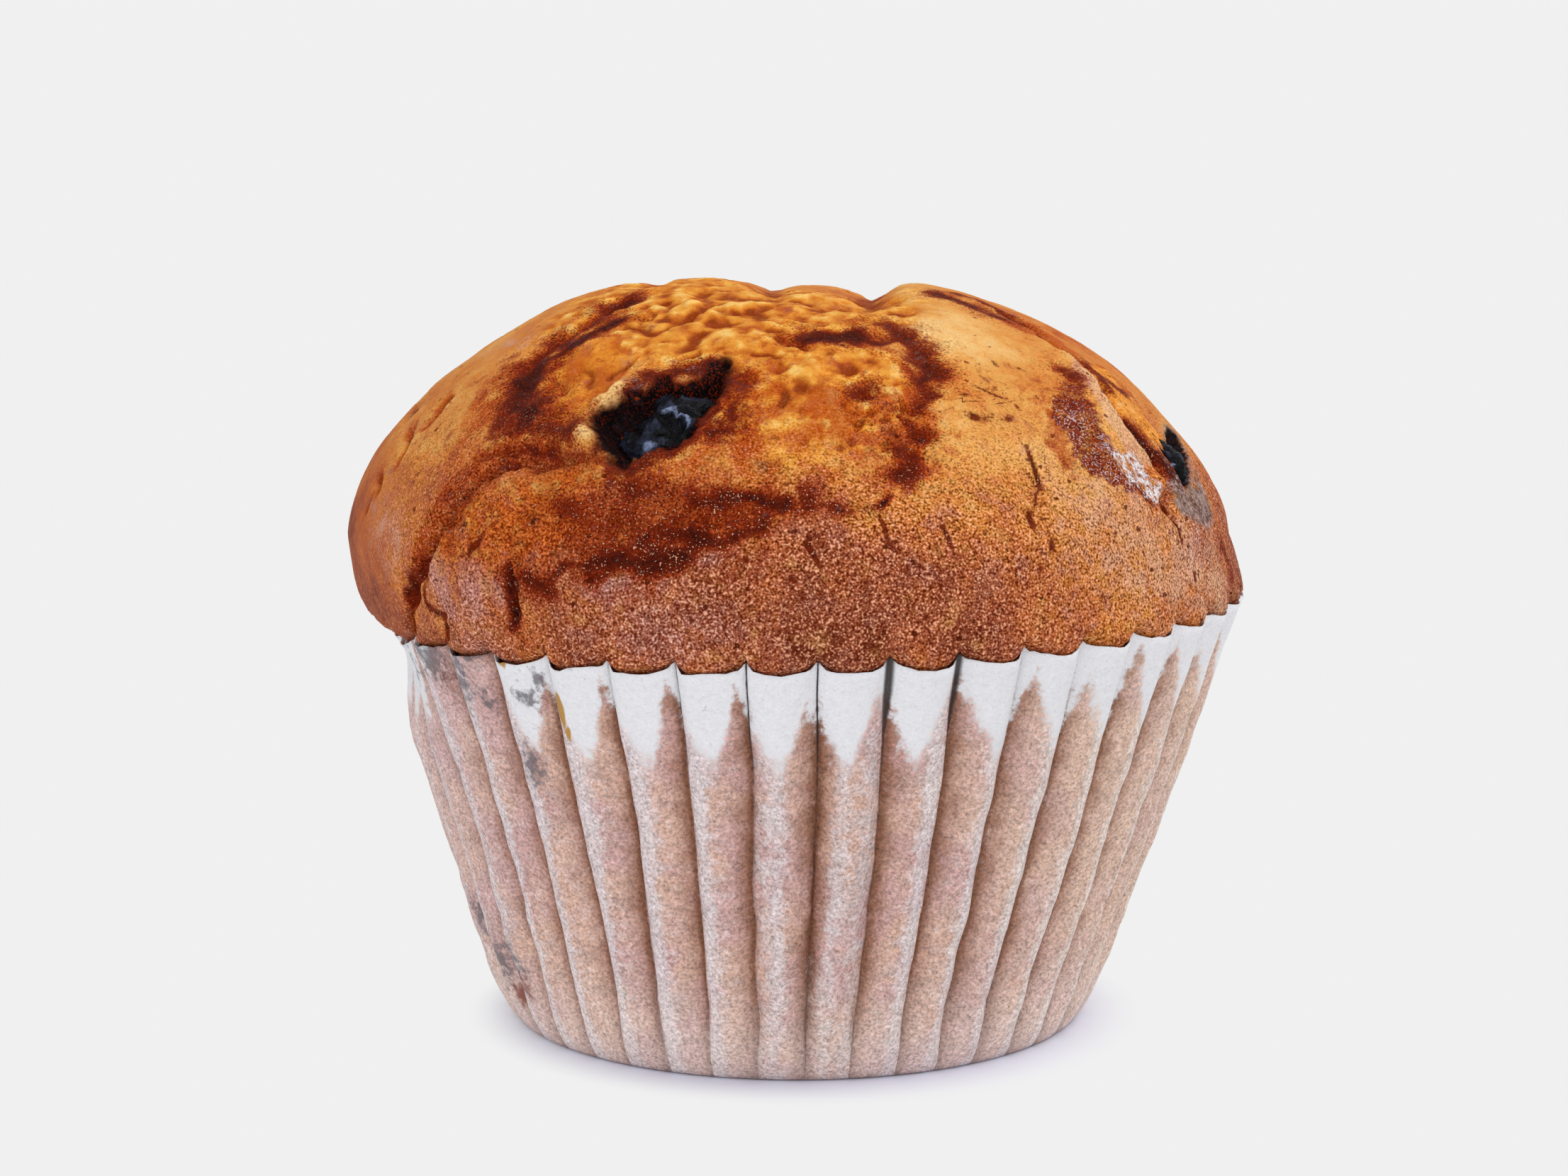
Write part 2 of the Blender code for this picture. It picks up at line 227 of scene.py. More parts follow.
case_tree = bpy.data.node_groups.new("Pleated baking case", "GeometryNodeTree")
tree = case_tree
case_sizes = {
    "Pleats": PLEATS, "Columns per pleat": CASE_COLUMNS, "Rows": CASE_ROWS,
    "Base radius": CASE_BASE_RADIUS, "Flare": CASE_FLARE, "Foot tuck": CASE_FOOT_TUCK,
    "Foot height": CASE_FOOT_HEIGHT, "Rim height": CASE_RIM_HEIGHT,
    "Rim tilt": CASE_RIM_TILT, "Lean": CASE_LEAN, "Lean height": CASE_LEAN_HEIGHT,
    "First crease": PLEAT_PHASE, "Pleat depth": PLEAT_DEPTH, "Pleat start": PLEAT_START,
    "Scallop": RIM_SCALLOP, "Left squeeze": LEFT_SQUEEZE, "Left drop": LEFT_DROP,
    "Rim nick": RIM_NICK, "Crease wander": CREASE_WANDER, "Sprung crease": SPRUNG_CREASE,
    "Seed": PLEAT_SEED}
for name, value in case_sizes.items():
    kind = "NodeSocketInt" if isinstance(value, int) else "NodeSocketFloat"
    case_tree.interface.new_socket(name, in_out="INPUT", socket_type=kind)
case_tree.interface.new_socket("Paper", in_out="INPUT", socket_type="NodeSocketMaterial")
case_tree.interface.new_socket("Mesh", in_out="OUTPUT", socket_type="NodeSocketGeometry")
given = add_node(tree, "NodeGroupInput").outputs


def sum_up(operation, first, second=0.0, third=0.0, clamp=False):
    """The result of one sum in the node tree being made."""
    made = add_node(tree, "ShaderNodeMath", {0: first, 1: second, 2: third},
                    operation=operation, use_clamp=clamp)
    return made.outputs[0]


def rest_of(value):
    """What a number leaves of 1."""
    return sum_up("SUBTRACT", 1.0, value)


def ramp_up(value, low, high, top=1.0, bottom=0.0):
    """From bottom to top as a number goes from low to high, smooth between."""
    return add_node(tree, "ShaderNodeMapRange", {
        "Value": value, "From Min": low, "From Max": high, "To Min": bottom, "To Max": top},
        interpolation_type="SMOOTHSTEP").outputs[0]


def bell(value, middle, width):
    """1 where the value is at the middle, falling smoothly to 0 over a width."""
    off = sum_up("DIVIDE", sum_up("SUBTRACT", value, middle), width)
    return sum_up("EXPONENT", sum_up("MULTIPLY", sum_up("MULTIPLY", off, off), -1.0))


def noise_round(angle, waist, up, detail, roughness):
    """Noise about 0 on a round wall of this radius, so that it has no seam."""
    place = add_node(tree, "ShaderNodeCombineXYZ", {
        0: sum_up("MULTIPLY", sum_up("SINE", angle), waist),
        1: sum_up("MULTIPLY", sum_up("COSINE", angle), waist), 2: up})
    made = add_node(tree, "ShaderNodeTexNoise", {
        "Vector": place.outputs[0], "Scale": 1.0, "Detail": detail, "Roughness": roughness})
    return sum_up("SUBTRACT", made.outputs[0], 0.5)


columns = sum_up("MULTIPLY", given["Pleats"], given["Columns per pleat"])
grid = add_node(tree, "GeometryNodeMeshGrid", {
    "Size X": 1.0, "Size Y": 1.0, "Vertices X": sum_up("ADD", columns, 1.0),
    "Vertices Y": given["Rows"]})
flat = add_node(tree, "ShaderNodeSeparateXYZ", {
    0: add_node(tree, "GeometryNodeInputPosition").outputs[0]})
across = sum_up("ADD", flat.outputs[0], 0.5)
run = sum_up("ADD", flat.outputs[1], 0.5)
# a hair is added, so that the column on a crease counts to the pleat after it
pleat = sum_up("ADD", sum_up("MULTIPLY", across, given["Pleats"]), 0.0001)
number = sum_up("MODULO", sum_up("FLOOR", pleat), given["Pleats"])
# columns crowd towards the creases, so that each crease stays crisp
even = sum_up("FRACT", pleat)
crowd = sum_up("MULTIPLY", sum_up("SINE", sum_up("MULTIPLY", even, math.tau)),
               -CREASE_CROWDING / math.tau)
phase = sum_up("ADD", even, crowd)
# height of each row: the base first, then the wall
on_wall = sum_up("DIVIDE", sum_up("SUBTRACT", run, CASE_BASE_SHARE), 1.0 - CASE_BASE_SHARE,
                 clamp=True)
on_base = sum_up("DIVIDE", run, CASE_BASE_SHARE, clamp=True)
rise = sum_up("POWER", on_wall, 1.15)
height = sum_up("MULTIPLY", rise, given["Rim height"])
started = sum_up("DIVIDE", height, given["Pleat start"], clamp=True)
below_top = rest_of(sum_up("POWER", rise, 5.0))
# creases wander a little on their way down
pleat_angle = sum_up("DIVIDE", math.tau, given["Pleats"])
straight = sum_up("MULTIPLY", sum_up("ADD", number, phase), pleat_angle)
wander = noise_round(straight, 13.0, sum_up("MULTIPLY", height, 75.0), 2.0, 0.55)
wander = sum_up("MULTIPLY", wander, sum_up("MULTIPLY", below_top, given["Crease wander"]))
wander = sum_up("MULTIPLY", wander, pleat_angle)
turn = sum_up("ADD", sum_up("ADD", straight, wander), given["First crease"])
sine = sum_up("SINE", turn)
tuck = sum_up("MULTIPLY", given["Foot tuck"], sum_up(
    "EXPONENT", sum_up("DIVIDE", height, sum_up("MULTIPLY", given["Foot height"], -1.0))))
radius = sum_up("SUBTRACT", sum_up("MULTIPLY_ADD", height, given["Flare"],
                                   given["Base radius"]), tuck)
radius = sum_up("MULTIPLY", radius, on_base)
# the pleats: a ridge that swings to one side as the wall turns away from the front
side = sum_up("DIVIDE", sine, PANEL_SWUNG_AT)
side = sum_up("MAXIMUM", sum_up("MINIMUM", side, 1.0), -1.0)
bend = sum_up("DIVIDE", math.log(0.5), sum_up(
    "LOGARITHM", sum_up("MULTIPLY_ADD", side, PANEL_SWING, PANEL_TOP), math.e))
swell = sum_up("SINE", sum_up("MULTIPLY", sum_up("POWER", phase, bend), math.pi))
swell = sum_up("MAXIMUM", swell, 0.0)
bulge = sum_up("MULTIPLY_ADD", sum_up("POWER", rise, 1.5), PANEL_BULGE - 1.0, 1.0)
panel = sum_up("POWER", swell, bulge)
pleat_key = add_node(tree, "ShaderNodeCombineXYZ", {0: number, 1: given["Seed"]})
pleat_luck = add_node(tree, "ShaderNodeTexWhiteNoise", {"Vector": pleat_key.outputs[0]})
luck = add_node(tree, "FunctionNodeSeparateColor", {0: pleat_luck.outputs["Color"]})
uneven = sum_up("MULTIPLY", sum_up("MULTIPLY_ADD", luck.outputs[0], 0.5, -0.25), below_top)
depth = sum_up("MULTIPLY", given["Pleat depth"], sum_up("ADD", uneven, 1.0))
inset = sum_up("MULTIPLY", sum_up("MULTIPLY", depth, started), rest_of(panel))
radius = sum_up("SUBTRACT", radius, sum_up("MULTIPLY", inset, on_base))
# pressed in at the far left, where the crust has risen over the rim
far_left = ramp_up(sine, -LEFT_BEGINS, -LEFT_FULL)
squeeze = sum_up("MULTIPLY", far_left, ramp_up(height, *LEFT_SQUEEZE_LEVELS))
radius = sum_up("SUBTRACT", radius, sum_up("MULTIPLY", squeeze, given["Left squeeze"]))
# soft dents where the paper has slackened
dent = noise_round(turn, 12.0, sum_up("MULTIPLY", height, 260.0), 2.0, 0.5)
dented = sum_up("MULTIPLY", dent, sum_up("MULTIPLY", sum_up("MULTIPLY", started, below_top),
                                         DENT_DEPTH))
radius = sum_up("ADD", radius, dented)
# place on the muffin
lean = sum_up("MULTIPLY", ramp_up(height, 0.0, given["Lean height"]), given["Lean"])
x = sum_up("MULTIPLY_ADD", radius, sine, lean)
y = sum_up("MULTIPLY", sum_up("MULTIPLY", radius, sum_up("COSINE", turn)), -1.0)
near_top = sum_up("POWER", rise, 8.0)
dip = sum_up("MULTIPLY", sum_up("MULTIPLY", panel, near_top), given["Scallop"])
dip = sum_up("MULTIPLY_ADD", sum_up("MULTIPLY", far_left, near_top), given["Left drop"], dip)
# the cut edge is uneven, and stands up in a small peak at each crease
edge_luck = noise_round(turn, 13.0, 0.0, 3.0, 0.7)
dip = sum_up("MULTIPLY_ADD", near_top, sum_up("MULTIPLY", edge_luck, RIM_UNEVEN), dip)
to_crease = sum_up("MINIMUM", phase, rest_of(phase))
peak = sum_up("MULTIPLY", bell(to_crease, 0.02, 0.05), sum_up("POWER", rise, 20.0))
dip = sum_up("MULTIPLY_ADD", peak, sum_up("MULTIPLY", given["Rim nick"], -1.0), dip)
full_height = sum_up("MULTIPLY_ADD", x, given["Rim tilt"], given["Rim height"])
top = sum_up("SUBTRACT", full_height, dip)
level = sum_up("DIVIDE", sum_up("MULTIPLY", height, top), given["Rim height"])
hump = sum_up("MULTIPLY", rest_of(sum_up("POWER", on_base, 12.0)), CASE_BASE_HUMP)
placed = add_node(tree, "ShaderNodeCombineXYZ", {0: x, 1: y, 2: sum_up("ADD", level, hump)})
# the soaked line: tongues of fat climb beside each crease, all the way up on the far left
tip_place = ramp_up(sine, 0.22, 0.45, 0.86, 0.46)
past_tip = sum_up("FRACT", sum_up("ADD", sum_up("SUBTRACT", phase, tip_place), 1.0))
climb = sum_up("DIVIDE", past_tip, TONGUE_STEEP_SIDE)
fall = sum_up("DIVIDE", rest_of(past_tip), 1.0 - TONGUE_STEEP_SIDE)
tongue = sum_up("POWER", sum_up("MINIMUM", climb, fall), 1.3)
reach_up = sum_up("MULTIPLY_ADD", luck.outputs[1], TONGUE_LUCK, TONGUE_CLIMB)
dry = sum_up("SUBTRACT", SOAKED_LINE, sum_up("MULTIPLY", tongue, reach_up))
flooded = sum_up("MULTIPLY", bell(sine, FLOOD_PLACE, FLOOD_WIDTH), FLOOD_CLIMB)
flooded = sum_up("MINIMUM", flooded, FLOOD_TOP)
below = sum_up("MULTIPLY", sum_up("SUBTRACT", full_height, level), 1.0 / MM)
soaked = sum_up("ADD", sum_up("SUBTRACT", below, dry), flooded)
# where the paper stands clear of the cake it stays pale; beside each crease it is browner, partly
# with fat where it is pressed on and partly with painted shade in the fold
on_left = sum_up("MULTIPLY", side, -1.6, clamp=True)
on_right = sum_up("MULTIPLY", side, 1.6, clamp=True)
in_middle = sum_up("SUBTRACT", rest_of(on_left), on_right)
width_luck = sum_up("MULTIPLY_ADD", luck.outputs[2], 0.14, 0.16)
ridge = sum_up("MULTIPLY", bell(phase, 0.15, width_luck), on_left)
ridge = sum_up("MULTIPLY_ADD", bell(phase, 0.82, 0.22), on_right, ridge)
ridge = sum_up("MULTIPLY_ADD", bell(phase, 0.40, 0.20), in_middle, ridge)
fold_shade_and_fat = sum_up("MULTIPLY", bell(phase, 1.0, 0.32), rest_of(on_right))
fold_shade_and_fat = sum_up("MULTIPLY_ADD", bell(phase, 0.0, 0.32), rest_of(on_left), fold_shade_and_fat)
crease_gap = sum_up("MULTIPLY", to_crease, PANEL_WIDTH)
crease_number = sum_up("FLOOR", sum_up("ADD", sum_up("ADD", number, phase), 0.5))
from_sprung = sum_up("ABSOLUTE", sum_up("SUBTRACT", crease_number, given["Sprung crease"]))
sprung = sum_up("LESS_THAN", from_sprung, 0.6)
stored = grid.outputs[0]
for name, value in (("soaked", soaked), ("ridge", ridge), ("fold_shade_and_fat", fold_shade_and_fat),
                    ("crease_gap", crease_gap), ("sprung", sprung), ("below_rim", below)):
    stored = add_node(tree, "GeometryNodeStoreNamedAttribute", {
        "Geometry": stored, "Name": name, "Value": value}).outputs[0]
moved = add_node(tree, "GeometryNodeSetPosition", {
    "Geometry": stored, "Position": placed.outputs[0]})
merged = add_node(tree, "GeometryNodeMergeByDistance", {
    "Geometry": moved.outputs[0], "Distance": PAPER_WELD})
realised = add_node(tree, "GeometryNodeRealizeInstances", {"Geometry": merged.outputs[0]})
smooth = add_node(tree, "GeometryNodeSetShadeSmooth", {"Geometry": realised.outputs[0]})
papered = add_node(tree, "GeometryNodeSetMaterial", {
    "Geometry": smooth.outputs[0], "Material": given["Paper"]})
add_node(tree, "NodeGroupOutput", {0: papered.outputs[0]})

# greaseproof paper: wood pulp beaten dense and pressed. Dry it is white and matt; where
# fat soaks in it turns tan and half clear, and shows what lies against it.
paper, tree = new_material("greaseproof_paper")


def noise_at(size, detail=2.0, roughness=0.6):
    """Noise about 0, between -0.5 and 0.5, with grains this many mm apart."""
    made = add_node(tree, "ShaderNodeTexNoise", {
        "Vector": add_node(tree, "ShaderNodeTexCoord").outputs["Object"],
        "Scale": 1.0 / (size * MM), "Detail": detail, "Roughness": roughness})
    return sum_up("SUBTRACT", made.outputs[0], 0.5)


def weigh(start, *shares):
    """A number with shares of others added. Each share is the other number and its weight."""
    for value, weight in shares:
        start = sum_up("MULTIPLY_ADD", value, weight, start)
    return start


def tint(factor, under, over):
    """One colour laid over another."""
    return add_node(tree, "ShaderNodeMix", {"Factor": factor, 6: under, 7: over},
                    data_type="RGBA").outputs[2]


def stain(under, value, low, high, top, code):
    """A colour with a stain laid over it, up to top thick as a number goes from low to high."""
    return tint(ramp_up(value, low, high, top), under, hex_colour(code))


def brighten(colour, amount):
    """A colour made lighter or darker."""
    return add_node(tree, "ShaderNodeVectorMath", {0: colour, "Scale": amount},
                    operation="SCALE").outputs[0]


def fields(*names):
    """The numbers stored on the mesh under these names."""
    return {name: add_node(tree, "ShaderNodeAttribute", attribute_name=name).outputs["Fac"]
            for name in names}


field = fields("soaked", "ridge", "fold_shade_and_fat", "crease_gap", "sprung", "below_rim",
               "grey_stain", "red_stain", "syrup")
# grain sizes in mm. Single fibres are too fine to show, so they are drawn as clumps.
fibre = noise_at(0.28, 2.0, 0.75)
fleck = noise_at(0.75, 3.0, 0.65)
blotch = noise_at(2.4, 3.0, 0.6)
cloud = noise_at(7.0, 2.0)
# the soaked line is frayed: fat creeps along the fibres
frayed = weigh(field["soaked"], (blotch, 3.4), (fleck, 5.0), (fibre, 3.0))
# soaked paper: pinkish tan; beside the creases it is browner, partly with fat and partly with
# painted shade
soaked_colour = stain(hex_colour("#CAA19C"), cloud, -0.10, 0.10, 1.0, "#D3AC9B")
soaked_colour = stain(soaked_colour, blotch, -0.02, 0.16, 0.55, "#B8918A")
soaked_colour = stain(soaked_colour, fleck, 0.0, 0.18, 0.45, "#E2CDCB")
# creamier towards the foot, where less fat has reached, and paler and creamier towards the right
# side
paper_spot = add_node(tree, "ShaderNodeSeparateXYZ", {
    0: add_node(tree, "ShaderNodeTexCoord").outputs["Object"]}).outputs
creamier_part = sum_up("MAXIMUM", ramp_up(paper_spot[0], 0.005, 0.030, 0.45),
               ramp_up(paper_spot[2], 0.015, 0.003, 0.15))
creamier_part = sum_up("MULTIPLY_ADD", blotch, 0.8, creamier_part, clamp=True)
soaked_colour = tint(creamier_part, soaked_colour, hex_colour("#E4C8B2"))
# painted shade beside each crease, laid with the fat where the paper is pressed on
fold_shade_and_fat_on = weigh(field["fold_shade_and_fat"], (blotch, 1.4), (fleck, 0.8))
soaked_colour = stain(soaked_colour, fold_shade_and_fat_on, 0.12, 1.15, 0.82, "#94624A")
# a rusty line beside each crease, partly fat where the paper is folded hardest against the cake and
# partly painted shade
crease_fat_and_shade = sum_up("MULTIPLY", ramp_up(field["crease_gap"], 0.80, 0.15),
                ramp_up(fold_shade_and_fat_on, 0.35, 0.95, 0.75))
soaked_colour = tint(crease_fat_and_shade, soaked_colour, hex_colour("#754428"))
# paler at the far left, and along each ridge that stands clear of the cake
soaked_colour = stain(soaked_colour, paper_spot[0], -0.021, -0.035, 0.35, "#DCC6C8")
ridge_tone = tint(creamier_part, hex_colour("#DCD2D6"), hex_colour("#EADBCA"))
ridge_on = ramp_up(weigh(field["ridge"], (blotch, 1.1), (fleck, 1.0)), 0.15, 1.0, 0.78)
soaked_colour = tint(ridge_on, soaked_colour, ridge_tone)
drying = weigh(field["below_rim"], (blotch, 12.0))
soaked_colour = stain(soaked_colour, drying, 26.0, 38.0, 0.4, "#E3D2CC")
soaked_colour = brighten(soaked_colour, weigh(1.0, (fibre, 2.1), (fleck, 0.5)))
# dry paper: white, with a faint felted cloudiness
dry_colour = brighten(hex_colour("#E9E8EC")[:3], weigh(1.0, (fibre, 0.22), (fleck, 0.22)))
# brown specks of fat stray into the dry paper beside each crease
stray = sum_up("MULTIPLY", weigh(0.9, (field["crease_gap"], -1.1)),
               ramp_up(field["below_rim"], 1.5, 4.5))
stray = weigh(stray, (sum_up("ADD", fibre, fleck), 2.6))
dry_colour = stain(dry_colour, stray, 0.35, 1.2, 0.55, "#A58A80")
colour = tint(ramp_up(frayed, -0.7, 1.5), dry_colour, soaked_colour)
# smears of juice and beads of syrup
colour = stain(colour, weigh(field["grey_stain"], (fleck, 2.4)), 0.3, 1.0, 0.8, "#574F56")
colour = stain(colour, weigh(field["red_stain"], (fleck, 1.6)), 0.3, 1.0, 0.85, "#7E3A26")
colour = stain(colour, field["syrup"], 0.35, 0.55, 0.95, "#B8862A")
# the creases: a hair line of shade, opened wide at two of them
mouth = ramp_up(field["below_rim"], 7.5, 2.0, 0.30)
line_width = weigh(0.075, (mouth, field["sprung"]), (fleck, 0.12))
line_on = rest_of(ramp_up(sum_up("DIVIDE", field["crease_gap"], line_width), 0.5, 1.35))
line_fade = weigh(0.28, (ramp_up(field["below_rim"], 12.0, 5.0), 0.65))
colour = tint(sum_up("MULTIPLY", line_on, line_fade), colour, hex_colour("#3C302E"))
paper_bump = add_node(tree, "ShaderNodeBump", {
    "Strength": 0.6, "Distance": 0.00025, "Height": sum_up("ADD", fibre, fleck)})
paper_shader = add_node(tree, "ShaderNodeBsdfPrincipled", {
    "Base Color": colour, "Roughness": 0.62, "Specular IOR Level": 0.25,
    "Normal": paper_bump.outputs[0]})
add_node(tree, "ShaderNodeOutputMaterial", {"Surface": paper_shader.outputs[0]})

case_maker = put_in_scene("case_maker", bpy.data.meshes.new("case_maker"))
maker = case_maker.modifiers.new("Case", "NODES")
maker.node_group = case_tree
sockets = {item.name: item.identifier for item in case_tree.interface.items_tree
           if item.in_out == "INPUT"}
for name, value in case_sizes.items():
    maker[sockets[name]] = value
maker[sockets["Paper"]] = paper
graph = bpy.context.evaluated_depsgraph_get()
case_mesh = bpy.data.meshes.new_from_object(case_maker.evaluated_get(graph))
bpy.data.objects.remove(case_maker, do_unlink=True)
case_mesh.name = "paper_cup"

# on the wall a degree is about this wide
MM_PER_DEGREE = 0.62
# stains: angle round the case from the front, mm below the rim, half sizes, strength
GREY_STAINS = (
    (-54, 1.5, 2.2, 2.6, 1.0), (-47.5, 2.4, 1.8, 3.6, 0.9), (-36.0, 3.6, 1.5, 0.9, 1.1),
    (-38.0, 9.8, 1.5, 2.4, 1.0), (-63, 3.2, 2.5, 3.0, 0.6), (-64, 30, 2.6, 3.2, 0.95),
    (-70, 27, 3.0, 3.0, 0.75), (-44, 0.6, 2.5, 0.6, 0.9), (-66, 12, 1.2, 6.0, 0.6),
    (-57, 14, 1.0, 5.0, 0.6), (-43.5, 4.6, 1.6, 1.8, 0.75), (-33.9, 2.0, 0.7, 1.2, 1.1),
    (-57, 29.0, 2.4, 3.4, 0.8), (128, 6, 5, 4, 0.7), (205, 14, 6, 5, 0.7))
RED_STAINS = (
    (-51.5, 3.5, 1.2, 3.0, 0.6), (-60.5, 33.2, 1.6, 1.4, 1.1), (-56.0, 32.0, 1.6, 1.8, 0.9),
    (131, 9, 3, 3, 0.8))
SYRUP = (
    (-38.4, 0.9, 0.55, 0.42, 1.0), (-31.1, 4.3, 0.42, 1.6, 1.2), (-30.7, 6.4, 0.35, 1.0, 0.9),
    (14.7, 5.0, 0.12, 0.8, 0.6))


def paint(mesh, name, values):
    """Stores a number at every point of a mesh."""
    mesh.attributes.new(name, "FLOAT", "POINT").data.foreach_set("value", values)


def points_of(mesh):
    """The points of a mesh, one to a row."""
    numbers = np.empty(len(mesh.vertices) * 3)
    mesh.vertices.foreach_get("co", numbers)
    return numbers.reshape(-1, 3)


case_points = points_of(case_mesh)
case_angle = np.degrees(np.arctan2(case_points[:, 0], -case_points[:, 1]))
case_below = (CASE_RIM_HEIGHT + CASE_RIM_TILT * case_points[:, 0] - case_points[:, 2]) / MM
for name, stains in (("grey_stain", GREY_STAINS), ("red_stain", RED_STAINS), ("syrup", SYRUP)):
    stained = np.zeros(len(case_points))
    for angle, below_rim, half_wide, half_high, strength in stains:
        swing = (case_angle - angle + 180.0) % 360.0 - 180.0
        off = (swing * MM_PER_DEGREE / half_wide) ** 2
        off += ((case_below - below_rim) / half_high) ** 2
        stained = np.maximum(stained, strength * np.exp(-off))
    paint(case_mesh, name, stained)

paper_cup = put_in_scene("paper_cup", case_mesh)
wall = paper_cup.modifiers.new("Wall", "SOLIDIFY")
wall.thickness = PAPER_THICKNESS
wall.offset = -1.0
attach(paper_cup, "root")
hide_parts("paper_case")


# ---------------------------------------------------------------------------
# Cake. One piece of sweet batter, baked to a smooth browned skin that has torn
# open round the crown, with dark fruit juice folded through it. It stands in
# the paper, and has risen over its rim in the oven.
# ---------------------------------------------------------------------------
DOME_RADIUS = 0.0392
DOME_LEVEL = 0.0435
DOME_RISE = 0.0225
# how square the dome's outline is, outwards and upwards: 2 would be an ellipse
DOME_ROUND_OUT = 2.15
DOME_ROUND_UP = 1.75
DOME_LEAN = 0.0005
# from here down, the crust takes the tilt and the lean of the case
DOME_STARTS = 0.0384
CHEEK_CURVE = 4.5
CRUST_FOOT = 0.0352
CAKE_GRID = 290
# relief fades out over this much skin, up to its hidden edge
EDGE_FADE = 0.003
# the skin keeps this far inside the paper
PAPER_GAP = 0.00030
# where it doesn't fill a panel, it keeps this many pleat depths further in
CREASE_ROOM = 1.35
# it stops filling the panels about this far under the rim
PANEL_FILLED_DEPTH = 0.0008
# over the rim it swells out, on a line and a curve
RIM_SWELL = 1.1
RIM_SWELL_CURVE = 200.0
# at the far left it curls in below this level
LEFT_CURL = 75.0
LEFT_CURL_LEVEL = 0.0398
# the hidden body's rings, from the top down to the base
BODY_LEVELS = (0.033, 0.022, 0.011, 0.0016, 0.0010)
BODY_SQUEEZE_LEVELS = (0.022, 0.033)
BODY_GAP = 0.0006
# relief, in millimetres
WANDER = 0.55
KNOB_SIZE = 2.7
TEAR_DEPTH = 0.5
CRATER_DEPTH = 2.0
SIDE_CRATER_DEPTH = 1.4
CRATER_BANK = 0.5
SLOT_DEPTH = 1.0
CRACK_DEPTH = 0.18

sweep_angle = np.linspace(math.pi / 2, 0.0, 800)
outline_radius = DOME_RADIUS * np.cos(sweep_angle) ** (2 / DOME_ROUND_OUT)
outline_height = DOME_LEVEL + DOME_RISE * np.sin(sweep_angle) ** (2 / DOME_ROUND_UP)
drop = np.linspace(0.0, DOME_LEVEL - CRUST_FOOT, 120)[1:]
outline_radius = np.append(outline_radius, DOME_RADIUS - CHEEK_CURVE * drop ** 2)
outline_height = np.append(outline_height, DOME_LEVEL - drop)
outline_radius[0] = 0.0
chord = np.hypot(np.diff(outline_radius), np.diff(outline_height))
travel = np.append(0.0, np.cumsum(chord))
ring_area = np.append(0.0, np.cumsum(chord * (outline_radius[1:] + outline_radius[:-1]) / 2))

# an even square net, drawn out to a disc and laid over the dome at equal area
steps = np.linspace(-1.0, 1.0, CAKE_GRID + 1)
net_a, net_b = [part.ravel() for part in np.meshgrid(steps, steps, indexing="ij")]
wide = np.abs(net_a) > np.abs(net_b)
long_side = np.where(wide, net_a, net_b)
short_side = np.where(wide, net_b, net_a)
slant = math.pi / 4 * np.divide(short_side, long_side, out=np.zeros_like(net_a),
                                where=long_side != 0.0)
bearing = np.where(wide, slant, math.pi / 2 - slant)
bearing = np.where(long_side < 0.0, bearing + math.pi, bearing)
away = np.interp(long_side ** 2 * ring_area[-1], ring_area, travel)
ring = np.interp(away, travel, outline_radius)
level = np.interp(away, travel, outline_height)
# features are placed on a flat map of the crust, in millimetres: u to the right of the
# crown, v away from the front
map_u = away * np.cos(bearing) / MM
map_v = away * np.sin(bearing) / MM


def rough(size, seed, octaves=1, keep=0.5, u=map_u, v=map_v):
    """Smooth random heights over the map, about -1 to 1, with hills this many mm apart."""
    total = np.zeros(len(u))
    for octave in range(octaves):
        step = 2.0 ** octave / size
        height = [noise.noise(Vector((a, b, seed + 7.3 * octave)))
                  for a, b in zip((u * step).tolist(), (v * step).tolist())]
        total += keep ** octave * np.array(height)
    return total * 1.4


def route_gap(u, v, route):
    """Distance from a route, above 0 on its right, and the share of the way along it."""
    best = np.full(len(u), 1.0e9)
    share_along = np.zeros(len(u))
    hand = np.ones(len(u))
    for index, (start, end) in enumerate(zip(route[:-1], route[1:])):
        du, dv = end[0] - start[0], end[1] - start[1]
        share = ((u - start[0]) * du + (v - start[1]) * dv) / (du * du + dv * dv)
        share = np.clip(share, 0.0, 1.0)
        gap = np.hypot(u - start[0] - share * du, v - start[1] - share * dv)
        nearer = gap < best
        best = np.where(nearer, gap, best)
        share_along = np.where(nearer, (index + share) / (len(route) - 1), share_along)
        turned = (u - start[0]) * dv - (v - start[1]) * du
        hand = np.where(nearer, np.where(turned < 0.0, -1.0, 1.0), hand)
    return best * hand, share_along


def taper(share_along, sharp=0.5):
    """1 along a route, falling to 0 at its two ends."""
    return np.clip(4.0 * share_along * (1.0 - share_along), 0.0, 1.0) ** sharp


def lump(u, v, middle, half, turn=0.0):
    """A smooth hill on the map, 1 at its middle."""
    c, s = math.cos(math.radians(turn)), math.sin(math.radians(turn))
    a = ((u - middle[0]) * c + (v - middle[1]) * s) / half[0]
    b = ((v - middle[1]) * c - (u - middle[0]) * s) / half[1]
    return np.exp(-(a * a + b * b))


def ease(value, low, high):
    """0 below low, 1 above high, smooth between."""
    share = np.clip((value - low) / (high - low), 0.0, 1.0)
    return share * share * (3.0 - 2.0 * share)


def inside(u, v, border):
    """Distance inside a closed border, below 0 outside it."""
    gap, _ = route_gap(u, v, (*border, border[0]))
    crossings = np.zeros(len(u), dtype=int)
    for start, end in zip(border, (*border[1:], border[0])):
        spans = (start[1] > v) != (end[1] > v)
        if start[1] != end[1]:
            meet = start[0] + (v - start[1]) / (end[1] - start[1]) * (end[0] - start[0])
            crossings += spans & (u < meet)
    return np.abs(gap) * np.where(crossings % 2 == 1, 1.0, -1.0)


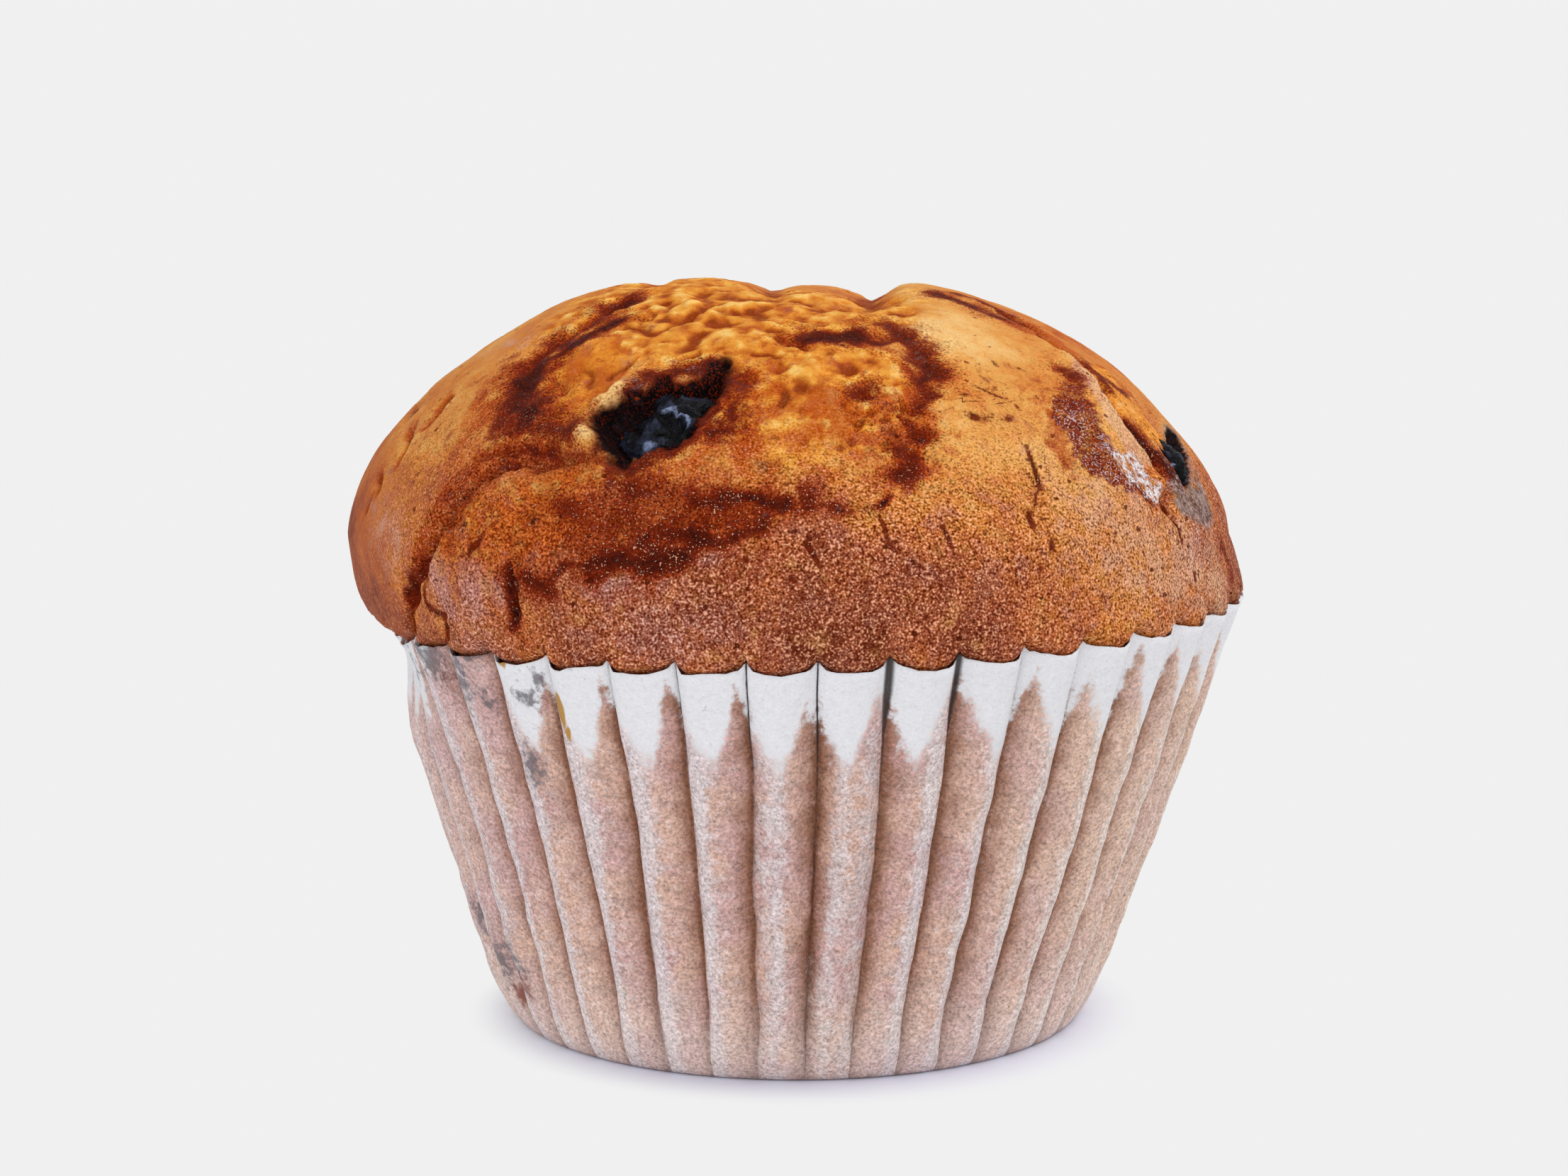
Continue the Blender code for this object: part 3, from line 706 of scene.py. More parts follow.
# slits down the left flank
SLITS = (
    ((-31.5, -11.8), (-32.8, -13.5), (-34, -14)), ((-35.4, -11.5), (-36.2, -14), (-37.8, -15.4)),
    ((-40.2, -13.4), (-41, -15)), ((-42.3, -13.9), (-43.5, -14.3)))
# a lip that has curled up, low on the left
CURLED_LIP = ((-39.2, -31.3), (-40.1, -32.3), (-39.5, -33.8), (-38.2, -35.4), (-39.6, -35.8),
              (-42.1, -35.5))
# furrows: route, half width, depth
FURROWS = (
    # the left fold, and the ledge above it
    (((-16.0, -33.7), (-20.2, -32.0), (-25.5, -29.6), (-28.0, -29.4), (-31.0, -29.3),
      (-34.3, -30.2), (-38.1, -30.5), (-43.8, -28.2), (-47.2, -27.6)), 1.1, 1.9),
    (((-20.5, -30.9), (-24.1, -28.3), (-26.4, -27.1), (-28.6, -26.5)), 0.6, 0.8),
    # the streak beside the crown
    (((-13.1, -5.8), (-15, -6.6), (-17.3, -9.7), (-20.4, -12.6), (-23.1, -15.6),
      (-23.4, -19), (-22.7, -23.5)), 1.1, 0.8),
    # down the left flank
    (SLITS[0], 0.55, 0.8), (SLITS[1], 0.5, 0.6), (SLITS[2], 0.5, 0.6), (SLITS[3], 0.5, 0.6),
    (((-35.9, -8), (-36.5, -1.5), (-35, 4)), 0.8, 0.6),
    # the notch behind the crown
    (((6.7, -12.5), (7.3, -7), (6.9, 0), (7.5, 10), (8.0, 20), (9.0, 30)), 2.2, 1.6),
    (((-2, -6), (-2, 2), (-1.5, 12), (-1, 22)), 1.6, 0.7),
    (((-12, -4), (-12, 6), (-11, 16)), 1.4, 0.5),
    # the swirl of juice in front of the crown
    (((2, -20.4), (6.6, -20.6), (9.6, -18.4), (12, -24.3), (10.6, -29.9), (10, -36.9),
      (4.6, -40.8)), 1.2, 0.6),
    (((3.6, -41), (-2.5, -40.9), (-7.5, -40.2), (-13.5, -38.1), (-19.4, -37.3)), 1.1, 0.25),
    # the long fissure down the right side
    (((17.9, -4.1), (19.7, -5.4), (21.0, -6.9), (23.0, -9.7), (25.1, -11.3), (26.3, -13.3),
      (27.6, -14.7), (28.4, -15.9), (29.8, -18.2), (31.2, -18.8), (32.9, -19.4), (34.6, -19.8),
      (36.2, -20.6), (36.4, -24.2), (37.9, -24.2), (39.2, -24.3)), 0.7, 1.3),
    # tears round the back
    (((26, 14), (18, 22), (6, 27), (-7, 26), (-17, 20)), 1.4, 1.1),
    (((-30, 24), (-35, 30), (-33, 37)), 1.0, 0.8),
    (((9, 38), (13, 45), (21, 47)), 0.9, 0.7),
)
# small tears in the crown that show the darker crumb below: route, half width, depth
TEARS = (
    (((-13.7, -15.1), (-12.5, -16.5), (-11.7, -17.4), (-10.4, -16.4), (-9.4, -16),
      (-8.6, -14.1)), 0.5, 1.0),
    (((-12.9, -15.2), (-12.5, -13.1), (-12.3, -11.5)), 0.32, 0.55),
    (((-8, -13.9), (-7.1, -13), (-5.8, -10.9)), 0.5, 1.0),
    (((-6.1, -13.7), (-5.2, -15.1), (-4.5, -13.8)), 0.5, 0.65),
    (((-10.5, -12.2), (-10.7, -9.5)), 0.6, 0.7),
    (((-3.5, -13.8), (-2, -12.8)), 0.5, 0.45),
    (((-1.9, -19), (-1.4, -19.2)), 0.6, 0.7),
    (((-0.9, -20.8), (0.2, -21.9), (0.9, -22.3), (0.9, -23.1)), 0.6, 1.0),
    (((-7.8, -19), (-8.1, -20), (-9.2, -21.3)), 0.9, 0.9),
    (((-9.3, -23.1), (-8.1, -22.8)), 0.4, 0.9),
    (((0.7, -28.3), (2.2, -29.5)), 0.8, 0.65),
    (((-3.3, -23.5), (-3.2, -24), (-2.1, -24.4), (-1.1, -24.9), (-0.6, -24.6)), 0.22, 0.65),
    (((4.5, -25.6), (4.8, -26.5), (5.5, -26)), 0.5, 0.7),
    (((-15.6, -23.6), (-14.9, -22.8), (-14.2, -22.5)), 0.4, 0.95),
    (((8.9, -13.9), (10, -13.8)), 0.5, 0.6),
    (((-17.8, -21.1), (-17.5, -24.2)), 0.4, 0.5),
    (((-20.9, -20.5), (-19.9, -23.2)), 0.5, 0.6),
    (SLITS[0], 0.6, 1.0), (SLITS[1], 0.45, 0.8), (SLITS[2], 0.6, 0.9), (SLITS[3], 0.6, 0.85),
)
# swellings: middle, half sizes, turn in degrees, height
SWELLINGS = (
    ((-31, -36), (10, 5), 15, 0.9),
    ((-9, 2), (8, 12), 0, 0.3),
    ((2, 2), (8, 14), 0, -1.7),
    ((11, 2), (5, 10), 0, 0.6),
    ((-19, 4), (8, 14), 0, 0.7),
    ((-43, -3), (11, 22), 0, 0.1),
    ((38, 0), (9, 20), 0, -0.9),
    ((51, -6), (5, 16), 0, -0.1),
    ((-53, -4), (3.5, 16), 0, 0.5),
    ((28.5, -26.5), (4.5, 3), -40, 0.5),
    ((27, -17), (2.5, 6), 20, 0.6),
    ((2, -31), (8, 7), 0, 0.4),
    ((-18.4, -30.6), (1.3, 1.7), 0, 0.7),
    ((-14.8, -26.2), (1.4, 1.0), 30, 0.4),
    ((35.6, -22.4), (0.9, 1.8), -10, 0.5),
    ((8, 18), (12, 7), 15, 0.6),
    ((-12, 33), (9, 6), -20, 0.5),
)
# lips, where one lobe has risen over the next: route, lift on its right, reach
LIPS = (
    (((-16.0, -34.2), (-20.0, -33.0), (-25.4, -30.4), (-27.9, -30.1), (-31.2, -29.9),
      (-34.3, -30.9), (-38.2, -31.2), (-43.9, -29.4)), -0.8, 3.0),
    (((19.7, -5.4), (23.0, -9.7), (26.3, -13.3), (28.4, -15.9), (29.8, -18.2), (31.2, -18.8),
      (32.9, -19.4), (34.6, -19.8)), 0.5, 2.0),
    (CURLED_LIP, 0.3, 2.0),
)
# the two holes the berries have burst through
CRATER = ((-16.9, -30.7), (-16.8, -29.2), (-16.3, -28.4), (-15.2, -28.5), (-14.3, -27.9),
          (-13.6, -27.1), (-12.3, -26.9), (-11.5, -26.2), (-10.5, -25.9), (-10.0, -26.9),
          (-8.9, -27.1), (-7.2, -26.7), (-6.7, -25.7), (-6.7, -24.9), (-5.5, -24.7),
          (-5.1, -25.4), (-5.6, -26.5), (-5.6, -28.4), (-6.0, -29.6), (-7.2, -30.5),
          (-7.7, -31.5), (-8.3, -32.5), (-8.7, -33.6), (-10.1, -34.3), (-12.0, -34.4),
          (-13.6, -34.7), (-14.5, -35.2), (-15.1, -35.3), (-15.6, -33.6), (-16.4, -32.5))
SIDE_CRATER = ((36.1, -10.0), (36.7, -7.0), (37.8, -5.6), (38.8, -9.5), (39.3, -13.0),
               (39.2, -16.4), (38.5, -18.4), (37.4, -17.6), (36.6, -15.4), (36.1, -12.8))
# fine cracks: route, half width, depth
CRACKS = (
    (((20.9, -30.5), (21.5, -31.2), (22.1, -32.5), (22.6, -33.5), (23.1, -34)), 0.15, 1.0),
    (((22.4, -35), (22.6, -35)), 0.3, 0.9),
    (((22.2, -36.4), (22.1, -37.1), (22.9, -37.9)), 0.22, 1.0),
    (((24.7, -38), (25.3, -38.7)), 0.24, 1.0),
    (((24.3, -40.7), (24.7, -41)), 0.24, 0.8),
    (((13.8, -41.1), (14.5, -41.8), (15.2, -42.8)), 0.14, 0.9),
    (((7.8, -41.5), (8.6, -42.5), (9.1, -43.8), (10.1, -44.5)), 0.12, 0.8),
    (((11, -45.4), (11.4, -46)), 0.2, 0.7),
    (((2, -43.6), (1.5, -44.6), (2.1, -45.4), (2.7, -46.4)), 0.17, 0.95),
    (((1.9, -43.8), (3, -44.1)), 0.1, 0.7),
    (((-0.3, -47.4), (0.6, -47.8)), 0.15, 0.8),
    (((0.9, -48.7), (1.4, -49.4)), 0.15, 0.7),
    (((-4.5, -45.9), (-3.9, -45.7)), 0.14, 0.8),
    (((-11.7, -48.1), (-11.6, -48.8)), 0.12, 0.7),
    (((15.6, -29.2), (16.5, -29.1)), 0.26, 1.0),
    (((18.8, -28.1), (19.3, -27.4)), 0.2, 0.8),
    (((17.2, -28.2), (17.7, -28)), 0.1, 0.6),
    (((14.5, -26.7), (15.3, -26.7)), 0.15, 0.7),
    (((16.1, -25), (17.4, -25.2), (18.8, -25.3)), 0.1, 0.7),
    (((19.6, -25.8), (20.2, -25.6)), 0.1, 0.6),
    (((17.4, -19.8), (18.1, -20.6)), 0.14, 0.6),
    (((19.5, -19.3), (20.5, -19.2)), 0.14, 0.6),
    (((36.6, -23.8), (37.3, -24.2), (38.8, -24.3), (40.2, -25.3)), 0.15, 1.0),
    (CURLED_LIP, 0.15, 0.9),
    (((-28.8, -35), (-29.7, -35.4), (-30.6, -35.2), (-31.2, -35.8)), 0.2, 0.9),
    (((-41.1, -28.5), (-42.6, -28), (-44.1, -27.6)), 0.35, 1.0),
    (((-44.6, -27.5), (-47, -29)), 0.12, 0.7),
    (((43.5, -25), (44, -25.9)), 0.22, 0.9),
    (((32.1, -38.5), (32.2, -39.1)), 0.2, 0.8),
    (((20.2, -45.6), (20.6, -45.8)), 0.2, 0.7),
)
# the torn crown: middle, half sizes, turn, strength
TORN = (((-5, -9), (18, 18), 0, 1.6), ((0, -28), (12, 12), 0, 1.45),
        ((-18, -21), (4.5, 10), -8, 1.45))
# rough, crinkled skin: middle, half sizes, turn, strength
COARSE = (
    ((-24.2, -36.6), (8, 4.5), 15, 1.0), ((-11.5, -41.1), (10, 3.5), -5, 1.0),
    ((-31.7, -33.2), (5, 4), 30, 1.0), ((8.6, -32.7), (6, 5), 0, 1.0),
    ((25.4, -25), (4, 6), 20, 1.0), ((-5, 30), (14, 8), 0, 1.0))
# the dark slot low on the left
SLOT = ((-27.9, -39.3), (-27.9, -40.6), (-28.8, -41.4), (-29.8, -41.8), (-30.8, -42.0))


def strongest(*parts):
    """The strongest of some numbers at each point."""
    return np.maximum.reduce(parts)


def hills(rows, u=map_u, v=map_v):
    """The hills of a table, whose rows give each one's middle, half sizes, turn and height."""
    return [height * lump(u, v, middle, half, turn_by) for middle, half, turn_by, height in rows]


# routes and borders wander, as a real tear does
wander_u = map_u + WANDER * rough(2.6, 11.0, 2)
wander_v = map_v + WANDER * rough(2.6, 23.0, 2)
relief = sum(hills(SWELLINGS))
for route, lift, reach in LIPS:
    gap, along = route_gap(wander_u, wander_v, route)
    on_side = gap * math.copysign(1.0, lift)
    relief += abs(lift) * taper(along) * ease(on_side, -0.25, 0.45) * np.exp(
        -np.clip(on_side, 0.0, None) / reach)
for route, half_width, depth in FURROWS:
    gap, along = route_gap(wander_u, wander_v, route)
    relief -= depth * taper(along) * np.exp(-(gap / half_width) ** 2)
tear = np.zeros(len(map_u))
for route, half_width, depth in TEARS:
    gap, _ = route_gap(wander_u, wander_v, route)
    tear = np.maximum(tear, depth * np.exp(-(gap / half_width) ** 2))
relief -= TEAR_DEPTH * tear

# the torn crown, heaped with crumb
torn = strongest(*hills(TORN, wander_u, wander_v)) - 0.55
torn = np.clip(torn + 0.15 * rough(2.2, 61.0, 2), 0.0, 1.0)
crumb = ease(torn, 0.02, 0.3)
heap = rough(4.8, 3.0, 3, 0.5)
knobs = np.array([
    noise.voronoi(Vector((a, b, 5.0)), distance_metric="DISTANCE")[0][0]
    for a, b in zip((wander_u / KNOB_SIZE).tolist(), (wander_v / KNOB_SIZE).tolist())])
relief += torn * (0.42 * heap - 0.45 * np.abs(rough(4.2, 5.0, 2)))
relief += 0.12 * crumb * (0.45 - knobs)
relief += 0.10 * rough(6.0, 31.0, 2)
coarse = strongest(*hills(COARSE, wander_u, wander_v))
relief -= (0.06 + 0.55 * coarse + 0.12 * crumb) * np.abs(rough(1.7, 47.0, 3, 0.6))

# the two craters, with ragged edges
ragged = 0.45 * rough(1.3, 71.0, 2)
crater = inside(map_u, map_v, CRATER) + ragged
side_crater = inside(map_u, map_v, SIDE_CRATER) + 0.35 * ragged
relief -= CRATER_DEPTH * ease(crater, -0.5, 1.6)
relief -= SIDE_CRATER_DEPTH * ease(side_crater, -0.4, 1.2)
# skin pushed up into a low bank along the left of the front crater
relief += CRATER_BANK * np.exp(-((crater + 1.2) / 0.9) ** 2) * ease(-map_u, 11.0, 16.0)

# the slot, and the fine cracks: each point of the skin minds only the crack nearest to it
slot_gap, slot_along = route_gap(map_u, map_v, SLOT)
slot_wide = (0.40 - 0.22 * slot_along) * np.clip(1.0 + 0.8 * rough(1.2, 131.0, 2), 0.35, 1.7)
slot = np.exp(-(slot_gap / slot_wide) ** 2)
relief -= SLOT_DEPTH * slot
crack_gap = np.full(len(map_u), 9.0)
crack_force = np.zeros(len(map_u))
for route, half_width, depth in CRACKS:
    gap, along = route_gap(map_u, map_v, route)
    force = depth * (0.45 + 0.55 * taper(along, 0.4))
    nearer = np.abs(gap) / half_width < np.abs(crack_gap)
    crack_gap = np.where(nearer, gap / half_width, crack_gap)
    crack_force = np.where(nearer, force, crack_force)
relief -= CRACK_DEPTH * crack_force * np.exp(-(crack_gap * 0.5) ** 2)

# fruit juice baked dark, and painted shade along the left fold: route, half width, darkness
JUICE_AND_FOLD_SHADE = (
    # beside the crown on the left, down to the fold
    (((-14.3, -6), (-15, -6.6), (-16.5, -9.3), (-18.1, -11.6), (-20.4, -13.6)), 0.9, 1.2),
    (((-14.8, -12.6), (-17.6, -14.3), (-19.4, -16.1), (-21.3, -17.0)), 0.7, 1.2),
    (((-20.4, -13.6), (-22.3, -15.7), (-23.5, -18.4), (-23.7, -21.5), (-22.9, -25.5)), 1.3, 1.4),
    (((-26.0, -23.4), (-24.2, -24.6), (-22.0, -25.4)), 1.3, 0.8),
    (((-26.3, -24.5), (-23.6, -25.7), (-20.9, -27.9), (-19.5, -29.7)), 1.5, 0.72),
    (((-19.4, -16.9), (-21.1, -18.6)), 0.7, 0.55),
    # painted shade in the ledge and the left fold, darkened like the juice
    (((-20.5, -30.9), (-24.1, -28.3), (-26.2, -27.2)), 0.5, 0.8),
    (((-25.9, -28.6), (-26.8, -27.8), (-28.1, -26.5)), 0.6, 0.65),
    (((-16.5, -34.9), (-20, -33.1), (-22.9, -30.4)), 0.8, 0.45),
    (((-25.7, -29.4), (-27.7, -30), (-30.8, -29.6)), 0.75, 0.8),
    (((-30.8, -29.6), (-34.3, -30.3)), 0.95, 0.72),
    (((-34.3, -30.3), (-38.1, -30.7)), 0.55, 0.62),
    (((-41.2, -28.5), (-44.1, -27.6)), 0.5, 0.8),
    # low on the left
    (((-27.7, -39.1), (-28.2, -40.5), (-29.2, -41.2), (-31.3, -42.2)), 0.5, 1.2),
    (((-26, -40.6), (-24.9, -41.8), (-24.4, -42.7)), 0.8, 0.95),
    # the bands across the front, and the brown lens between them
    (((-23.6, -42.1), (-21.7, -42), (-19.4, -42.6)), 0.4, 0.85),
    (((-19.4, -42.6), (-17.3, -43.3), (-15, -44.2), (-12.5, -44.7), (-9.8, -44.6)), 0.95, 1.2),
    (((-14.1, -42.6), (-12.6, -42.2), (-11.1, -42.8), (-9.1, -43.3), (-5.4, -44.1),
      (-2.5, -43.3)), 0.85, 1.1),
    (((-9, -40), (-7.4, -40.2), (-4, -40.4), (-2.5, -40.9), (-0.4, -41)), 0.65, 1.1),
    (((1.7, -41.1), (4, -41.3)), 0.85, 0.78),
    (((-18.4, -38.2), (-15.5, -40.6), (-11.5, -41.1), (-7.4, -42.1), (-3.4, -42.5)), 2.1, 0.52),
    (((-20.8, -36.9), (-18, -38.7), (-16.5, -41.2)), 1.3, 0.6),
    # painted shade along the left fold
    (((-30.5, -29.8), (-34.3, -30.5), (-38.0, -30.4), (-41.2, -28.8)), 0.75, 0.85),
    (((-13.3, -37.3), (-12.1, -37.9), (-11.1, -38.8)), 0.8, 0.75),
    (((-15.5, -36.5), (-12.8, -37.1)), 1.0, 0.6),
    # the swirl in front of the crown
    (((1.9, -20.9), (3.5, -19.9), (5.5, -19.9)), 1.0, 1.2),
    (((5.5, -20.4), (7.3, -20.4)), 0.4, 0.95),
    (((7.4, -20.7), (9.4, -19.1)), 0.75, 1.0),
    (((8.7, -16.5), (9.6, -17.8), (10.3, -19.4), (11, -21)), 1.0, 0.85),
    (((11.7, -22.6), (12.5, -24.1), (12, -25), (11.5, -26.3)), 1.0, 0.95),
    (((10.2, -22.8), (10.8, -23.7)), 0.8, 0.8),
    (((11.7, -27.4), (12.9, -27.5)), 0.55, 1.05),
    (((11.4, -28.4), (11.2, -29.7)), 0.55, 0.85),
    (((9, -30.6), (9.5, -31.5)), 0.55, 0.8),
    (((10.2, -31.7), (11.4, -33.2)), 0.75, 1.0),
    (((9.6, -34.8), (10.6, -35.9), (10.3, -37.5)), 0.85, 1.0),
    (((8.6, -39.9), (8.1, -40.7)), 0.28, 1.3),
    (((7.4, -40.9), (5.2, -41.5)), 0.6, 0.55),
    (((5.5, -30), (7.1, -28)), 0.7, 0.78),
    # round the front berry
    (((-4.7, -27.4), (-4.1, -31.2), (-5.4, -34.3)), 1.2, 0.6),
    (((-8.5, -33.8), (-6.1, -33.2)), 1.0, 0.75),
    (((-11.5, -25.4), (-9.6, -25.6), (-8.4, -25.8), (-7.0, -25.4)), 0.8, 1.2),
    (((-14.6, -35.2), (-12.6, -35.0), (-10.6, -34.9), (-8.6, -34.2), (-7.5, -32.6),
      (-6.6, -31.0)), 0.6, 0.95),
    (((-13.9, -26.9), (-12.8, -26.0)), 0.6, 0.9),
    # the right side: the scorched shoulder, a sugary patch, the fissure, the rim
    (((12.6, -4.6), (14.6, -5.6), (16.5, -6.7), (18.7, -8.3)), 0.75, 0.95),
    (((26.4, -10.6), (27.6, -12.0), (28.5, -13.4)), 0.7, 0.8),
    (((24.2, -16.7), (25.6, -17.8)), 0.9, 0.78),
    (((23.9, -10.5), (26.7, -13.9)), 0.5, 0.8),
    (((31.0, -18.3), (31.8, -18.5), (33.5, -18.8), (35.2, -18.5), (36.6, -18.9)), 0.75, 1.35),
    # beside the front berry, and below it
    (((-6.0, -29.5), (-4.8, -30.8), (-5.2, -32.5)), 0.45, 0.9),
    (((-5.3, -34.1), (-6.4, -34.3), (-7.9, -33.3)), 0.5, 1.0),
    (((-15.4, -35.4), (-14.4, -36.2), (-12.6, -35.8)), 0.7, 0.9),
    (((-14.9, -37.5), (-13.0, -38.4), (-11.1, -38.5)), 0.7, 0.8),
    (((32.4, -26.7), (33.6, -26.4), (34.9, -25.6)), 0.25, 1.25),
    (((29.2, -11.6), (30.2, -11.2)), 0.7, 0.9),
    (((14.5, -2), (17.8, -3.4), (21.3, -6.7)), 0.5, 0.75),
    (((46.6, -15), (49.5, -13), (50.7, -16)), 0.8, 0.6),
    # round the back
    (((-14, 31), (-5, 35), (6, 33.5), (14, 27), (19, 19)), 1.3, 0.9),
    (((-27, 12), (-33, 20), (-33, 29), (-27, 37)), 1.1, 0.8),
    (((24, 34), (32, 28), (38, 17)), 1.2, 0.8),
    (((-3, 44), (6, 42), (13, 44)), 1.2, 0.75),
)
# skin baked to a deep orange: route, half width, strength
RUST = (
    (((-17.0, -34.6), (-20.5, -33.8), (-25.6, -31.6), (-28.0, -31.2), (-31.5, -31.1)),
     1.2, 0.95),
    (((19.2, -8.8), (21.4, -9.4), (23.7, -9.4), (26.2, -11.2)), 1.0, 1.2),
    (SLITS[0], 0.9, 1.1), (SLITS[1], 0.8, 1.0), (SLITS[2], 0.9, 1.0),
    (((-30.5, -29.2), (-34.3, -29.9), (-37.6, -30.0)), 1.6, 1.0),
    (((-28.0, -17.0), (-26.5, -20.5), (-26.5, -24.0)), 1.9, 0.85),
    (((-31.0, -23.3), (-30.5, -26.5)), 1.6, 0.6),
    (((-26.7, -33.4), (-25.5, -36.2), (-29.5, -34.6)), 2.0, 0.6),
    (((-34.8, -30.8), (-33.0, -31.6)), 1.2, 1.0),
    (((-16.4, -17.0), (-17.8, -19.4), (-18.8, -22.0)), 0.7, 0.7),
    (((-7.2, -36.7), (-10.3, -37.2), (-12.4, -37.0)), 1.3, 0.85),
    (((2.2, -34.2), (4.0, -32.2), (3.0, -30.4)), 1.6, 0.8),
    (((24.9, -12.0), (26.3, -13.8), (27.6, -15.1), (28.6, -16.8), (29.8, -18.4)), 0.5, 1.2),
    (((21.5, -5.5), (24.5, -8.5), (27.0, -9.5)), 1.0, 0.9),
    (((30.5, -8.5), (32.5, -10.0)), 0.7, 0.5),
    (((23.9, -3.6), (27.9, 1.6), (31.8, 1.8), (36.3, 1.1)), 2.0, 0.7),
    (((-24.4, -26.6), (-28.5, -27.2), (-32.6, -27.4), (-35.7, -29), (-38.9, -29.1)), 1.1, 0.95),
    (((-22.4, -29), (-25.9, -27.5), (-28.7, -27.8)), 1.6, 0.7),
    (((-26.4, -16.3), (-28.4, -20.8), (-27.9, -25.6)), 3.4, 0.5),
    (((-21.2, -35.2), (-25, -35.9), (-29.6, -36.1)), 2.6, 0.42),
    (((-25.2, -38), (-19.5, -38.6)), 2.2, 0.6),
    (((-17.8, -35.9), (-20.9, -40.7)), 1.6, 0.55),
    (((-4.1, -28.1), (-2.8, -32.2), (-4, -36)), 2.2, 0.75),
    (((10.4, -26.3), (10.7, -30), (10.4, -36.8)), 1.7, 0.8),
    (((5, -30.9), (3.3, -33.7), (1, -35.1)), 1.5, 0.55),
    (((-5.5, -38.5), (2.5, -38.9), (7, -37)), 1.6, 0.4),
    (((-9, -41.6), (-3, -42)), 1.2, 0.6),
    (((22.6, -8.5), (25.5, -11.8), (28.6, -11.9)), 0.8, 0.85),
    (((23.2, -23.6), (23.2, -26.8), (24.6, -29.3)), 0.9, 0.5),
    (((-17.9, -17.9), (-19.9, -20.4)), 1.2, 0.55),
    (((33.5, -22), (37.2, -22.1)), 0.5, 0.5),
    (((-8, 30), (4, 30), (12, 24)), 2.2, 0.6),
    (((26, 13), (18, 21), (6, 26), (-7, 25), (-17, 19)), 1.3, 0.8),
)
# pale golden crumb laid bare: route, half width, strength
GOLD = (
    (((-13.5, -20.8), (-14.5, -21.9)), 0.9, 1.0),
    (((-18.9, -19.7), (-19, -22.7), (-19, -26)), 0.6, 0.75),
    (((-1.5, -4), (3.5, -3), (6.5, -8)), 4.0, 0.8),
    (((2.4, -23.9), (3.1, -26.7)), 0.9, 0.85),
    (((-2, -15.3), (1, -18)), 1.6, 0.6),
    (((-2.5, -35.7), (1.6, -36.5), (5, -36.1)), 1.3, 0.5),
    (((-7.9, -37.9), (-11.6, -36.5)), 0.9, 0.6),
    (((8, 22), (0, 24), (-8, 22)), 2.0, 0.7),
)
# cream skin, where it has lifted thin, and painted sheen on the flanks: route, half width, strength
CREAM_AND_SHEEN = (
    (((-17.2, -30.8), (-16.7, -28.9), (-15.4, -27), (-13.9, -24.9)), 0.7, 0.12),
    (((-14.6, -25.2), (-14.0, -24.2)), 0.7, 0.4),
    # the broad strokes on the far left flank and on the right flank are painted sheen
    (((-41.2, -21.0), (-40.5, -26.1)), 2.2, 0.6),
    (((-26.8, -38.6), (-29.5, -38.4)), 1.2, 0.5),
    (((-9.7, -39.2), (-10.1, -38.1)), 0.4, 0.6),
    (((-42.1, -15.4), (-42.6, -21.5)), 3.0, 0.35),
    (((-29.5, -2), (-23.3, -10)), 3.0, 0.45),
    (((30, -32), (38, -30), (47, -22)), 6.5, 0.75),
    (((22, -31), (30, -37), (38, -35)), 4.0, 0.45),
)
# a dusty mauve grey, painted sheen: middle, half sizes, turn, strength
MAUVE_SHEEN = (
    ((-36.2, -34.0), (2.2, 2.8), 0, 1.2),
    ((-32.4, -37.7), (3.2, 2.2), 0, 0.9),
    ((-29.5, -39.6), (1.3, 1.0), 20, 1.4),
    ((-17.4, -45), (3.6, 0.8), -12, 0.9),
    ((-16, -46.3), (5.5, 1.2), -5, 0.5),
    ((-7.5, -45.4), (2.6, 0.7), 5, 0.6),
    ((-41.1, -22.2), (4.0, 8.0), 0, 0.4),
    ((-37.5, -39.7), (6.0, 5.0), 0, 0.5),
    ((-14.2, -49.8), (12, 4.0), -12, 0.4),
    ((25.4, -16.3), (1.2, 1.6), 20, 0.6),
    ((41.5, -24), (3.0, 5.0), 0, 0.6),
    ((36.6, -34.9), (8.0, 5.0), 35, 0.3),
)
